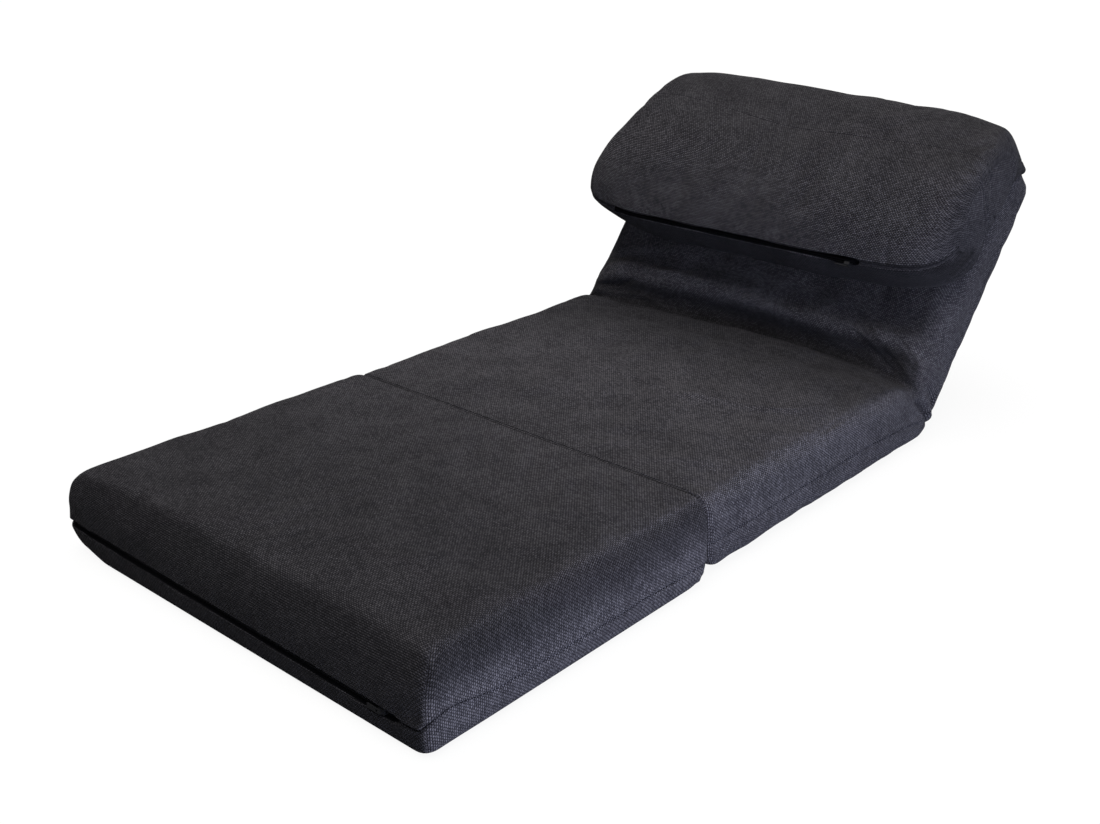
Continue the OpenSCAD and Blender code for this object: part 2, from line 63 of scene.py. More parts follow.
seamY = joints["foot_fold"]["pos_m"][1]              # cross seam between foot and seat
pivot = np.array(joints["backrest_recline"]["pos_m"])  # ratchet pivot of the backrest
backTilt = math.radians(50)
sinT, cosT = math.sin(backTilt), math.cos(backTilt)
sideways = np.array([1.0, 0, 0])                     # towards the right side
upBack = np.array([0, cosT, sinT])                   # up the backrest
outBack = np.array([0, -sinT, cosT])                 # out of its front
print("frame loaded:", len(nodes), "nodes")


def onBack(up, out):
    # (y, z) from the pivot of a point of the backrest's own frame
    return (up * cosT - out * sinT, up * sinT + out * cosT)


def backPoint(up, out, x):
    # point of the backrest's own frame: pivot + up · upBack + out · outBack + x · sideways
    return pivot + up * upBack + out * outBack + x * sideways


def fromBack(points):
    # the same for rows of (x, up, out)
    x, up, out = points.T[..., None]
    return backPoint(up, out, x)


def atSeam(points):
    # rows of (x, y, z) counted from the cross seam
    return points + np.array([0, seamY, 0])


def atPivot(points):
    # rows of (x, y, z) counted from the ratchet pivot
    return points + pivot


def smooth(t):
    # 3t² - 2t³, with t held to 0..1
    t = np.clip(t, 0, 1)
    return t * t * (3 - 2 * t)


def roundIn(t, depth):
    # quarter ellipse: depth · (1 - √(1 - t²)), with t held to 0..1
    t = np.clip(t, 0, 1)
    return depth * (1 - np.sqrt(1 - t * t))


def edgeIn(z, low, high, below, above):
    # how far a rounded wall has drawn in at height z; below and above are (height, depth)
    return (roundIn((low + below[0] - z) / below[0], below[1])
            + roundIn((z - high + above[0]) / above[0], above[1]))


def swell(z, low, high, depth):
    # fullness of a wall between its edges: half a sine
    return depth * np.sin(np.pi * np.clip((z - low) / (high - low), 0, 1))


def curveAt(x, keys):
    # smooth curve through keys (x, y): cubic Hermite, slopes from the neighbouring keys
    xs, ys = np.array(keys, float).T
    slope = np.gradient(ys, xs)
    i = np.clip(np.searchsorted(xs, x) - 1, 0, len(xs) - 2)
    span = xs[i + 1] - xs[i]
    t = np.clip((x - xs[i]) / span, 0, 1)
    return ((1 + 2 * t) * (1 - t) ** 2 * ys[i] + t * (1 - t) ** 2 * span * slope[i]
            + t * t * (3 - 2 * t) * ys[i + 1] + t * t * (t - 1) * span * slope[i + 1])


def within(x, low, high, fade):
    # 1 between low and high, easing to 0 over fade on either side
    return smooth((x - low + fade) / fade) * smooth((high + fade - x) / fade)


def crease(u, v, keys, height, width, fade=0.03):
    # ridge, or valley where height is below 0, along the curve v(u) through keys:
    # height · exp(-(distance / width)²), fading out past both ends
    keys = np.array(keys, float)
    away = (v - curveAt(u, keys)) / width
    return height * np.exp(-away ** 2) * within(u, keys[0, 0] + fade / 2, keys[-1, 0] - fade / 2, fade)


def creases(u, v, rows):
    # sum of several creases; each row holds keys, height, width and, where it differs, fade
    return sum(crease(u, v, *row) for row in rows)


def spread(breaks, step):
    # positions from the first to the last break, evenly spaced between breaks, about step apart
    parts = [np.linspace(a, b, max(1, round((b - a) / step)) + 1)[:-1] for a, b in zip(breaks, breaks[1:])]
    return np.concatenate(parts + [breaks[-1:]])


def waves(count, shortest, longest, seed):
    # a soft random field over two coordinates: sines of random direction, length and phase
    source = np.random.default_rng(seed)
    angle = source.uniform(0, np.pi, count)
    length = np.exp(source.uniform(np.log(shortest), np.log(longest), count))
    phase = source.uniform(0, 2 * np.pi, count)
    weight = length / length.max()

    def field(u, v):
        # sum of the sines by weight, evened out to about 1
        total = np.zeros_like(u)
        for a, l, p, w in zip(angle, length, phase, weight):
            total += w * np.sin(2 * np.pi * (u * np.cos(a) + v * np.sin(a)) / l + p)
        return total / np.sqrt((weight ** 2).sum() / 2) / 2
    return field


def sideWalk(t, length, rStart, rEnd):
    # a side from corner middle to corner middle: 45° of arc, the straight, 45° of arc, by arc length
    a0, a1 = rStart * np.pi / 4, rEnd * np.pi / 4
    straight = length - rStart - rEnd
    along = t * (a0 + straight + a1)
    first = np.pi / 4 + along / rStart
    last = np.pi / 2 - (along - a0 - straight) / rEnd
    onFirst, onLast = along < a0, along > a0 + straight
    p = np.where(onFirst, rStart - rStart * np.cos(first),
                 np.where(onLast, length - rEnd + rEnd * np.cos(last), rStart + along - a0))
    q = np.where(onFirst, rStart - rStart * np.sin(first),
                 np.where(onLast, rEnd - rEnd * np.sin(last), 0))
    return p, q


def outlineRings(half, front, rear, rFront, rRear, across, along):
    # rounded rectangles, one a level: front side left to right, right side, rear side, left side
    half, front, rear = (np.broadcast_to(v, half.shape) for v in (half, front, rear))
    na, nb = len(across) - 1, len(along) - 1
    f, r, b, l = np.split(np.arange(2 * (na + nb)), [na, na + nb, 2 * na + nb])
    x, y = np.zeros_like(half), np.zeros_like(half)
    p, q = sideWalk(across[:-1], 2 * half[:, f], rFront, rFront)
    x[:, f], y[:, f] = p - half[:, f], front[:, f] + q
    p, q = sideWalk(along[:-1], (rear - front)[:, r], rFront, rRear)
    x[:, r], y[:, r] = half[:, r] - q, front[:, r] + p
    p, q = sideWalk(1 - across[::-1][:-1], 2 * half[:, b], rRear, rRear)
    x[:, b], y[:, b] = half[:, b] - p, rear[:, b] - q
    p, q = sideWalk(1 - along[::-1][:-1], (rear - front)[:, l], rRear, rFront)
    x[:, l], y[:, l] = q - half[:, l], rear[:, l] - p
    return x, y


def ringSides(count, na, nb):
    # index of each ring column's cap cell, as rows of the cap's four borders
    front = np.arange(na + 1)
    right = na + np.arange(nb + 1)
    rear = (na + nb + np.arange(na + 1))[::-1]
    left = ((2 * na + nb + np.arange(nb + 1)) % count)[::-1]
    return front, right, rear, left


def cap(ring, across, along):
    # Coons patch: the two ruled surfaces between opposite borders, less the bilinear one
    na, nb = len(across) - 1, len(along) - 1
    front, right, rear, left = (ring[i] for i in ringSides(len(ring), na, nb))
    a, b = across[None, :, None], along[:, None, None]
    ruled = (1 - b) * front[None] + b * rear[None] + (1 - a) * left[:, None] + a * right[:, None]
    corners = ((1 - a) * (1 - b) * front[0] + a * (1 - b) * front[-1]
               + (1 - a) * b * rear[0] + a * b * rear[-1])
    return ruled - corners


def gridCells(grid):
    # the four corners of every cell of a grid, anticlockwise
    return np.stack([grid[:-1, :-1], grid[:-1, 1:], grid[1:, 1:], grid[1:, :-1]], 2)


def closeBox(rings, across, along, clothWall, dome=(0, 0), power=4):
    # closed skin of quads: a wall over the stack of rings, and a Coons cap on either end that
    # bulges by dome · (1 - a^power)(1 - b^power); clothWall holds each wall's fabric coordinates
    levels, count = rings.shape[:2]
    na, nb = len(across) - 1, len(along) - 1
    index = np.arange(levels * count).reshape(levels, count)
    k, i = np.meshgrid(np.arange(levels - 1), np.arange(count), indexing="ij")
    j = (i + 1) % count
    side = np.searchsorted([na, na + nb, 2 * na + nb], i, side="right")
    corners = ((k, i), (k, j), (k + 1, j), (k + 1, i))
    points = [rings.reshape(-1, 3)]
    quads = [np.stack([index[c] for c in corners], -1).reshape(-1, 4)]
    cloth = [np.stack([clothWall[(side,) + c] for c in corners], -2).reshape(-1, 4, 2)]
    start = levels * count
    a, b = 2 * across[None] - 1, 2 * along[:, None] - 1
    bulge = (1 - a ** power) * (1 - b ** power)
    for level, flip, height in ((0, True, -dome[0]), (levels - 1, False, dome[1])):
        patch = cap(rings[level], across, along)
        patch[..., 2] += height * bulge
        grid = np.full((nb + 1, na + 1), -1)
        front, right, rear, left = ringSides(count, na, nb)
        grid[1:-1, 1:-1] = start + np.arange((nb - 1) * (na - 1)).reshape(nb - 1, na - 1)
        grid[0], grid[-1] = index[level, front], index[level, rear]
        grid[:, 0], grid[:, -1] = index[level, left], index[level, right]
        points.append(patch[1:-1, 1:-1].reshape(-1, 3))
        start += (nb - 1) * (na - 1)
        way = slice(None, None, -1 if flip else 1)
        quads.append(gridCells(grid)[:, :, way].reshape(-1, 4))
        cloth.append(gridCells(patch[..., :2])[:, :, way].reshape(-1, 4, 2))
    return np.concatenate(points), np.concatenate(quads), np.concatenate(cloth)


def newMesh(name, points, faces, cloth=None, **fields):
    # mesh from arrays, with its fabric coordinates as UVs and any fields as point attributes
    mesh = bpy.data.meshes.new(name)
    mesh.from_pydata(points.tolist(), [], faces.tolist() if hasattr(faces, "tolist") else faces)
    if cloth is not None:
        mesh.uv_layers.new(name="fabric").data.foreach_set("uv", cloth.astype(np.float32).ravel())
    for field, values in fields.items():
        kind = "FLOAT_VECTOR" if values.ndim == 2 else "FLOAT"
        data = mesh.attributes.new(field, kind, "POINT").data
        data.foreach_set("vector" if values.ndim == 2 else "value", values.astype(np.float32).ravel())
    mesh.polygons.foreach_set("use_smooth", np.ones(len(mesh.polygons), bool))
    obj = bpy.data.objects.new(name, mesh)
    scene.collection.objects.link(obj)
    return obj


def getPoints(mesh):
    # all points as rows of x, y, z
    out = np.empty(len(mesh.vertices) * 3, np.float32)
    mesh.vertices.foreach_get("co", out)
    return out.reshape(-1, 3).astype(float)


def setPoints(mesh, points):
    # puts rows of x, y, z back into the mesh
    mesh.vertices.foreach_set("co", points.astype(np.float32).ravel())
    mesh.update()


def getNormals(mesh):
    # all point normals as rows of x, y, z
    out = np.empty(len(mesh.vertices) * 3, np.float32)
    mesh.vertex_normals.foreach_get("vector", out)
    return out.reshape(-1, 3).astype(float)


def getField(mesh, field):
    # a point attribute as a row of numbers, or as rows of x, y, z
    slot = mesh.attributes[field]
    wide = slot.data_type == "FLOAT_VECTOR"
    out = np.empty(len(mesh.vertices) * (3 if wide else 1), np.float32)
    slot.data.foreach_get("vector" if wide else "value", out)
    return (out.reshape(-1, 3) if wide else out).astype(float)


def applyModifiers(obj):
    # the evaluated mesh takes the place of the object's own, and its modifiers go
    graph = bpy.context.evaluated_depsgraph_get()
    mesh = bpy.data.meshes.new_from_object(obj.evaluated_get(graph), preserve_all_data_layers=True,
                                           depsgraph=graph)
    old = obj.data
    obj.modifiers.clear()
    obj.data = mesh
    bpy.data.meshes.remove(old)
    mesh.name = obj.name


def subdivide(obj):
    # one Catmull-Clark step, kept in the mesh
    step = obj.modifiers.new("smooth", "SUBSURF")
    step.levels = step.render_levels = 1
    applyModifiers(obj)


filling = {"pressure": 4.0, "frames": 20, "quality": 5, "mass": 0.3, "stretch": 15.0, "shear": 5, "bend": 2}


def puff(obj, held, d):
    # cloth simulation of a filled cover: pressure from inside, no gravity; points that held marks
    # with 1 stay, the others are held by the share slack, and none moves further than puffLimit
    group = obj.vertex_groups.new(name="held")
    held = np.round(np.where(held == 0, d["slack"], held), 1)
    for weight in np.unique(held):
        group.add(np.nonzero(held == weight)[0].tolist(), float(weight), "REPLACE")
    before = getPoints(obj.data)
    cloth = obj.modifiers.new("filling", "CLOTH")
    cloth.settings.quality = filling["quality"]
    cloth.settings.mass = filling["mass"]
    cloth.settings.tension_stiffness = cloth.settings.compression_stiffness = filling["stretch"]
    cloth.settings.shear_stiffness = filling["shear"]
    cloth.settings.bending_stiffness = filling["bend"]
    cloth.settings.shrink_min = -d["grow"]
    cloth.settings.use_pressure = True
    cloth.settings.uniform_pressure_force = filling["pressure"]
    cloth.settings.vertex_group_mass = "held"
    cloth.settings.effector_weights.gravity = 0
    cloth.collision_settings.use_collision = False
    cloth.point_cache.frame_start, cloth.point_cache.frame_end = 1, filling["frames"]
    for frameNumber in range(1, filling["frames"] + 1):
        scene.frame_set(frameNumber)
    graph = bpy.context.evaluated_depsgraph_get()
    after = getPoints(obj.evaluated_get(graph).data)
    obj.modifiers.clear()
    obj.vertex_groups.clear()
    scene.frame_set(1)
    move = after - before
    size = np.linalg.norm(move, axis=1, keepdims=True)
    limit = d["puffLimit"]
    setPoints(obj.data, before + move * np.minimum(1, limit / np.maximum(size, 1e-9)))
    print(f"  {obj.name}: filled, moved up to {size.max() * 1000:.1f} mm, held to {limit * 1000:.0f}")


# rows across a seam as (offset, depth), pulled in by the stitches, and the same rows at a zip's
# slot: straight walls 11 mm apart and 9 mm deep
seamRows = {
    "reach": 0.0095,
    "sewn": ((-0.0095, 0), (-0.0058, -0.0004), (-0.0032, 0.0000), (-0.0016, 0.0010), (-0.0006, 0.0022),
             (0, 0.0025), (0.0006, 0.0020), (0.0016, 0.0004), (0.0032, -0.0010), (0.0058, -0.0010),
             (0.0095, -0.0002)),
    "slot": ((-0.0095, 0), (-0.0076, -0.0003), (-0.0061, 0.0004), (-0.0056, 0.0020), (-0.0055, 0.0080),
             (0, 0.0096), (0.0055, 0.0080), (0.0056, 0.0020), (0.0060, 0.0002), (0.0074, -0.0007),
             (0.0095, -0.0003)),
}
seamReach, seamCount = seamRows["reach"], len(seamRows["sewn"])
slotRows = slice(3, 8)                               # the rows that lie inside the slot


def sewnRows(zipShare=None):
    # offset and depth of the seam's rows, moved towards the slot's by zipShare
    sewn, slot = np.array(seamRows["sewn"]), np.array(seamRows["slot"])
    if zipShare is None:
        return sewn[:, 0:1], sewn[:, 1:2]
    return tuple(sewn[:, k:k + 1] * (1 - zipShare) + slot[:, k:k + 1] * zipShare for k in (0, 1))


def drawIn(x, y, depth):
    # moves each ring's points inwards by depth, square to the ring (anticlockwise)
    tx, ty = np.roll(x, -1, 1) - np.roll(x, 1, 1), np.roll(y, -1, 1) - np.roll(y, 1, 1)
    size = np.maximum(np.hypot(tx, ty), 1e-9)
    return x - depth * ty / size, y + depth * tx / size


def ringColumns(front, right, rear, left):
    # joins the values of the four sides into one row for the ring, corners counted once
    return np.concatenate([front[:-1], right[:-1], rear[:-1], left[:-1]])


def boxCloth(rings):
    # fabric coordinates of the four walls, carried on from the top by the length down the wall
    step = np.linalg.norm(np.diff(rings, axis=0), axis=2)
    down = np.concatenate([np.cumsum(step[::-1], axis=0)[::-1], np.zeros((1, rings.shape[1]))])
    x, y = rings[-1, :, 0][None] + 0 * down, rings[-1, :, 1][None] + 0 * down
    return np.stack([np.stack([x, y - down], -1), np.stack([x + down, y], -1),
                     np.stack([x, y + down], -1), np.stack([x - down, y], -1)])


def seamIn(lowPart):
    # the seam's rows in a stack that starts with lowPart, whose last row is the seam's first
    return slice(len(lowPart) - 1, len(lowPart) - 1 + seamCount)


def wallField(points, wall, onCaps):
    # one value a point: the wall's own, and the value onCaps for the points of both caps
    field = np.full(len(points), float(onCaps))
    field[:wall.size] = wall.ravel()
    return field


def softPiece(name, points, quads, cloth, material, body, slot, fill, **fields):
    # a closed soft mesh that keeps its body, for declare, and its material slot and share of filling as
    # custom properties
    obj = newMesh(name, points, quads, cloth, **fields)
    obj.data.materials.append(material)
    obj["fill"], obj["slot"], obj["body"] = fill, slot, body
    return obj


def lineSlot(obj, material, inside=0.6):
    # faces whose mean lining field is above inside get the cloth of the zip's tapes
    obj.data.materials.append(material)
    mark = getField(obj.data, "lining")
    corners = np.empty(len(obj.data.loops), np.int32)
    obj.data.loops.foreach_get("vertex_index", corners)
    share = mark[corners.reshape(-1, 4)].mean(1)
    obj.data.polygons.foreach_set("material_index", (share > inside).astype(np.int32))
    obj.data.update()


def refined(obj):
    # smooths the mesh once and gives its points, normals and own coordinates
    subdivide(obj)
    return getPoints(obj.data), getNormals(obj.data), getField(obj.data, "rest").T


def layPaintedShading(obj, share):
    # keeps painted light and shade at each point, as its difference from 1, the fabric's own tone
    data = obj.data.attributes.new("nap", "FLOAT", "POINT").data
    data.foreach_set("value", (share - 1).astype(np.float32))


def declare(obj, *replaced, blend=None):
    # parents a finished soft piece to its body's empty, or where blend is given bakes its placement into the
    # mesh instead; and hides the parts it replaces
    if blend:
        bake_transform(obj)
    else:
        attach(obj, obj["body"])
    if replaced:
        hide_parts(*replaced)


# materials

def newMaterial(name):
    # a material with its node tree and shader
    material = bpy.data.materials.new(name)
    material.use_nodes = True
    tree = material.node_tree
    return material, tree, tree.nodes["Principled BSDF"]


def link(tree, source, target):
    # joins a node's output to an input
    tree.links.new(source, target)


def addNode(tree, kind, **values):
    # a node with the given properties or, where it has no such property, unlinked inputs
    made = tree.nodes.new(kind)
    for key, value in values.items():
        if hasattr(made, key):
            setattr(made, key, value)
        else:
            made.inputs[key].default_value = value
    return made


def mathNode(tree, operation, *values, clamp=False):
    # output of one math operation on numbers or other nodes' outputs
    made = tree.nodes.new("ShaderNodeMath")
    made.operation, made.use_clamp = operation, clamp
    for slot, value in zip(made.inputs, values):
        if isinstance(value, (int, float)):
            slot.default_value = value
        else:
            link(tree, value, slot)
    return made.outputs[0]


def rampNode(tree, source, stops):
    # colour ramp over (position, colour) stops
    made = tree.nodes.new("ShaderNodeValToRGB")
    link(tree, source, made.inputs[0])
    first, last = made.color_ramp.elements
    first.position, first.color = stops[0]
    last.position, last.color = stops[-1]
    for position, colour in stops[1:-1]:
        made.color_ramp.elements.new(position).color = colour
    return made.outputs[0]


def reliefNode(tree, shader, height, strength, distance):
    # bump from a height into the shader's normal
    relief = addNode(tree, "ShaderNodeBump", Strength=strength, Distance=distance)
    link(tree, height, relief.inputs["Height"])
    link(tree, relief.outputs[0], shader.inputs["Normal"])


chenille = {
    "floatLength": 0.0042, "rowHeight": 0.0026, "wander": 0.0004, "wanderScale": 120.0,
    "dark": (0.0085, 0.0079, 0.0096), "mid": (0.0360, 0.0343, 0.0390), "light": (0.128, 0.122, 0.134),
    "stops": (0.12, 0.50, 0.95), "crown": 0.62, "random": 0.26, "fuzz": 0.72, "patches": 0.40, "less": 0.55,
    "fuzzScale": 680.0, "patchScale": 16.0, "bump": 0.0012, "fuzzBump": 0.4, "rough": 0.95, "gloss": 0.05,
    "sheen": 0.03, "sheenRough": 0.5, "sheenTint": (0.88, 0.88, 1.0, 1),
}


def wovenFabric(name, d):
    # floats of soft yarn in a brick pattern: rows of rounded cells, every other row half a float on.
    # level = crown · cell + random · tone of the float + fuzz + patches of nap - less, where
    # cell = (1 - (2 · across)²)(1 - (2 · along)³); a point attribute of painted light and shade scales the
    # colour of that level
    material, tree, shader = newMaterial(name)
    calc = partial(mathNode, tree)
    uv = addNode(tree, "ShaderNodeUVMap", uv_map="fabric").outputs[0]
    wobble = addNode(tree, "ShaderNodeTexNoise", Scale=d["wanderScale"], Detail=2.0)
    link(tree, uv, wobble.inputs["Vector"])
    bent = addNode(tree, "ShaderNodeVectorMath", operation="MULTIPLY_ADD")
    link(tree, wobble.outputs["Color"], bent.inputs[0])
    bent.inputs[1].default_value = (d["wander"], d["wander"], 0)
    link(tree, uv, bent.inputs[2])
    split = addNode(tree, "ShaderNodeSeparateXYZ")
    link(tree, bent.outputs[0], split.inputs[0])
    v = calc("DIVIDE", split.outputs[1], d["rowHeight"])
    row = calc("FLOOR", v)
    shift = calc("MULTIPLY", calc("FLOORED_MODULO", row, 2.0), 0.5)
    u = calc("MULTIPLY_ADD", split.outputs[0], 1 / d["floatLength"], shift)
    column = calc("FLOOR", u)
    across = calc("ABSOLUTE", calc("SUBTRACT", calc("SUBTRACT", v, row), 0.5))
    along = calc("ABSOLUTE", calc("SUBTRACT", calc("SUBTRACT", u, column), 0.5))
    crest = calc("SUBTRACT", 1.0, calc("POWER", calc("MULTIPLY", across, 2.0), 2.0))
    ends = calc("SUBTRACT", 1.0, calc("POWER", calc("MULTIPLY", along, 2.0), 3.0))
    height = calc("MULTIPLY", crest, ends, clamp=True)
    cell = addNode(tree, "ShaderNodeCombineXYZ")
    link(tree, column, cell.inputs[0])
    link(tree, row, cell.inputs[1])
    tone = addNode(tree, "ShaderNodeTexWhiteNoise", noise_dimensions="2D")
    link(tree, cell.outputs[0], tone.inputs["Vector"])
    fuzz = addNode(tree, "ShaderNodeTexNoise", Scale=d["fuzzScale"], Detail=2.0)
    link(tree, uv, fuzz.inputs["Vector"])
    nap = addNode(tree, "ShaderNodeTexNoise", Scale=d["patchScale"], Detail=5.0, Roughness=0.62)
    link(tree, uv, nap.inputs["Vector"])
    level = calc("MULTIPLY", height, d["crown"])
    for source, share in ((tone, d["random"]), (fuzz, d["fuzz"]), (nap, d["patches"])):
        level = calc("MULTIPLY_ADD", source.outputs[0], share, level)
    level = calc("SUBTRACT", level, d["less"])
    stops = [(at, d[colour] + (1,)) for at, colour in zip(d["stops"], ("dark", "mid", "light"))]
    # painted light and shade: the point attribute scales the ramp's colour, 0 keeping the fabric's own tone
    paintedShade = addNode(tree, "ShaderNodeAttribute", attribute_name="nap")
    shadedColour = addNode(tree, "ShaderNodeVectorMath", operation="SCALE")
    link(tree, rampNode(tree, level, stops), shadedColour.inputs[0])
    link(tree, calc("ADD", paintedShade.outputs["Fac"], 1.0), shadedColour.inputs["Scale"])
    link(tree, shadedColour.outputs[0], shader.inputs["Base Color"])
    reliefNode(tree, shader, calc("MULTIPLY_ADD", fuzz.outputs[0], d["fuzzBump"], height), 1.0, d["bump"])
    shader.inputs["Roughness"].default_value = d["rough"]
    shader.inputs["Specular IOR Level"].default_value = d["gloss"]
    shader.inputs["Sheen Weight"].default_value = d["sheen"]
    shader.inputs["Sheen Roughness"].default_value = d["sheenRough"]
    shader.inputs["Sheen Tint"].default_value = d["sheenTint"]
    return material


def grainMaterial(name, colours, scale, rough, stretch=(1, 1, 1), metal=0.0, bump=0.0, gloss=0.5):
    # noise on object coordinates, stretched along the grain, drives colour, roughness and bump:
    # roughness = 0.3 · noise + rough - 0.15
    material, tree, shader = newMaterial(name)
    place = addNode(tree, "ShaderNodeTexCoord")
    mapping = addNode(tree, "ShaderNodeMapping")
    mapping.inputs["Scale"].default_value = stretch
    link(tree, place.outputs["Object"], mapping.inputs["Vector"])
    grain = addNode(tree, "ShaderNodeTexNoise", Scale=scale, Detail=4.0, Roughness=0.6)
    link(tree, mapping.outputs[0], grain.inputs["Vector"])
    stops = [(0.3, colours[0] + (1,)), (0.7, colours[1] + (1,))]
    link(tree, rampNode(tree, grain.outputs[0], stops), shader.inputs["Base Color"])
    uneven = mathNode(tree, "MULTIPLY_ADD", grain.outputs[0], 0.3, rough - 0.15)
    link(tree, uneven, shader.inputs["Roughness"])
    shader.inputs["Metallic"].default_value = metal
    shader.inputs["Specular IOR Level"].default_value = gloss
    if bump:
        reliefNode(tree, shader, grain.outputs[0], 0.6, bump)
    return material


def cellMaterial(name, colours, size):
    # small rounded cells with dark hollows, by the distance to the nearest cell's middle
    material, tree, shader = newMaterial(name)
    place = addNode(tree, "ShaderNodeTexCoord")
    cells = addNode(tree, "ShaderNodeTexVoronoi", Scale=1 / size)
    link(tree, place.outputs["Object"], cells.inputs["Vector"])
    stops = [(0.1, colours[0] + (1,)), (0.55, colours[1] + (1,))]
    link(tree, rampNode(tree, cells.outputs["Distance"], stops), shader.inputs["Base Color"])
    reliefNode(tree, shader, cells.outputs["Distance"], 0.7, size / 3)
    shader.inputs["Roughness"].default_value = 0.9
    return material


def wovenStrap(name, colours, pitch, gloss=0.3):
    # fine crossed yarns on object coordinates: sin x · (sin y + sin z) / 4 + 1/2
    material, tree, shader = newMaterial(name)
    calc = partial(mathNode, tree)
    place = addNode(tree, "ShaderNodeTexCoord")
    split = addNode(tree, "ShaderNodeSeparateXYZ")
    link(tree, place.outputs["Object"], split.inputs[0])
    rates = (2 * math.pi / pitch, 2 * math.pi / pitch * 0.7, 2 * math.pi / pitch * 0.7)
    waved = [calc("SINE", calc("MULTIPLY", split.outputs[k], rates[k])) for k in range(3)]
    level = calc("MULTIPLY_ADD", calc("MULTIPLY", waved[0], calc("ADD", waved[1], waved[2])), 0.25, 0.5)
    stops = [(0.2, colours[0] + (1,)), (0.8, colours[1] + (1,))]
    link(tree, rampNode(tree, level, stops), shader.inputs["Base Color"])
    reliefNode(tree, shader, level, 0.6, pitch / 5)
    shader.inputs["Roughness"].default_value = 0.8
    shader.inputs["Specular IOR Level"].default_value = gloss
    return material


coverFabric = wovenFabric("coverFabric", chenille)
gripCloth = wovenStrap("gripCloth", ((0.008, 0.008, 0.009), (0.022, 0.022, 0.024)), 0.0030)
foamCells = cellMaterial("foamCells", ((0.42, 0.36, 0.22), (0.72, 0.66, 0.46)), 0.0022)
fibreFill = cellMaterial("fibreFill", ((0.62, 0.62, 0.60), (0.82, 0.82, 0.80)), 0.0040)
zipTapeCloth = wovenStrap("zipTapeCloth", ((0.0015, 0.0015, 0.002), (0.004, 0.004, 0.005)), 0.0008, 0.02)
zipNylon = grainMaterial("zipNylon", ((0.002, 0.002, 0.0025), (0.005, 0.005, 0.006)), 900, 0.6, gloss=0.10)
zipEnamel = grainMaterial("zipEnamel", ((0.003, 0.003, 0.004), (0.008, 0.008, 0.009)), 500, 0.65,
                          bump=0.00005, gloss=0.15)
paintedTube = grainMaterial("paintedTube", ((0.05, 0.05, 0.055), (0.075, 0.075, 0.08)), 700, 0.45,
                            metal=0.2, bump=0.00008)
elasticWeb = wovenStrap("elasticWeb", ((0.015, 0.015, 0.017), (0.05, 0.05, 0.055)), 0.0016)
zincPlate = grainMaterial("zincPlate", ((0.42, 0.43, 0.44), (0.60, 0.61, 0.62)), 160, 0.38, (1, 1, 3),
                          metal=0.9, bump=0.00004)
ratchetSteel = grainMaterial("ratchetSteel", ((0.30, 0.30, 0.31), (0.46, 0.46, 0.47)), 420, 0.34, (4, 1, 1),
                             metal=0.95, bump=0.00004)

# foot cushion

footCushion = {
    "half": 0.338, "length": 0.5, "nose": 0.005, "low": 0.0014, "height": 0.118, "crown": 0.005,
    "edge": (0.026, 0.018), "belly": 0.011, "foot": (0.014, 0.005),
    "noseRound": (0.070, 0.044), "noseEnds": (0.60, 0.90), "noseUnder": (0.046, 0.008),
    "rearUnder": (0.042, 0.034), "rearTop": (0.006, 0.004), "corners": (0.014, 0.012), "gap": 0.0010,
    "seamSide": ((0.0, 0.02, 0.2, 0.5, 0.75, 1.0), (0.044, 0.048, 0.041, 0.037, 0.036, 0.032)),
    "zipEnds": (0.0451, 0.0347), "zipFrom": -0.330, "zipTo": 0.292, "zipFade": 0.010, "step": 0.0085,
    "columns": (0, 0.012, 0.04, 0.96, 0.988, 1), "rows": (0, 0.02, 0.08, 0.97, 0.99, 1), "lowRows": 8,
    "highRows": (0.08, 0.18, 0.29, 0.40, 0.50, 0.59, 0.67, 0.74, 0.80, 0.855, 0.90, 0.938, 0.968, 0.989, 1.0),
    "puffLimit": 0.006, "grow": 0.003, "slack": 0.15, "curl": (0.005, 0.004, 0.007), "flatBy": 0.18,
    "topWaves": 0.0016, "sideWaves": 0.0012, "gathers": (0.0011, 0.0010), "puckers": (0.0006, 0.0016),
    # along the top the colour runs darker towards the front; on the flanks, painted light low down and
    # painted shade near the top
    "nap": ((-0.52, 0.62), (-0.40, 0.64), (-0.28, 0.67), (-0.14, 0.82), (0.01, 0.98)),
    "flankNap": ((0, 1.15), (0.045, 1.20), (0.060, 1.12), (0.078, 0.72), (0.096, 0.48), (0.125, 0.46)),
}


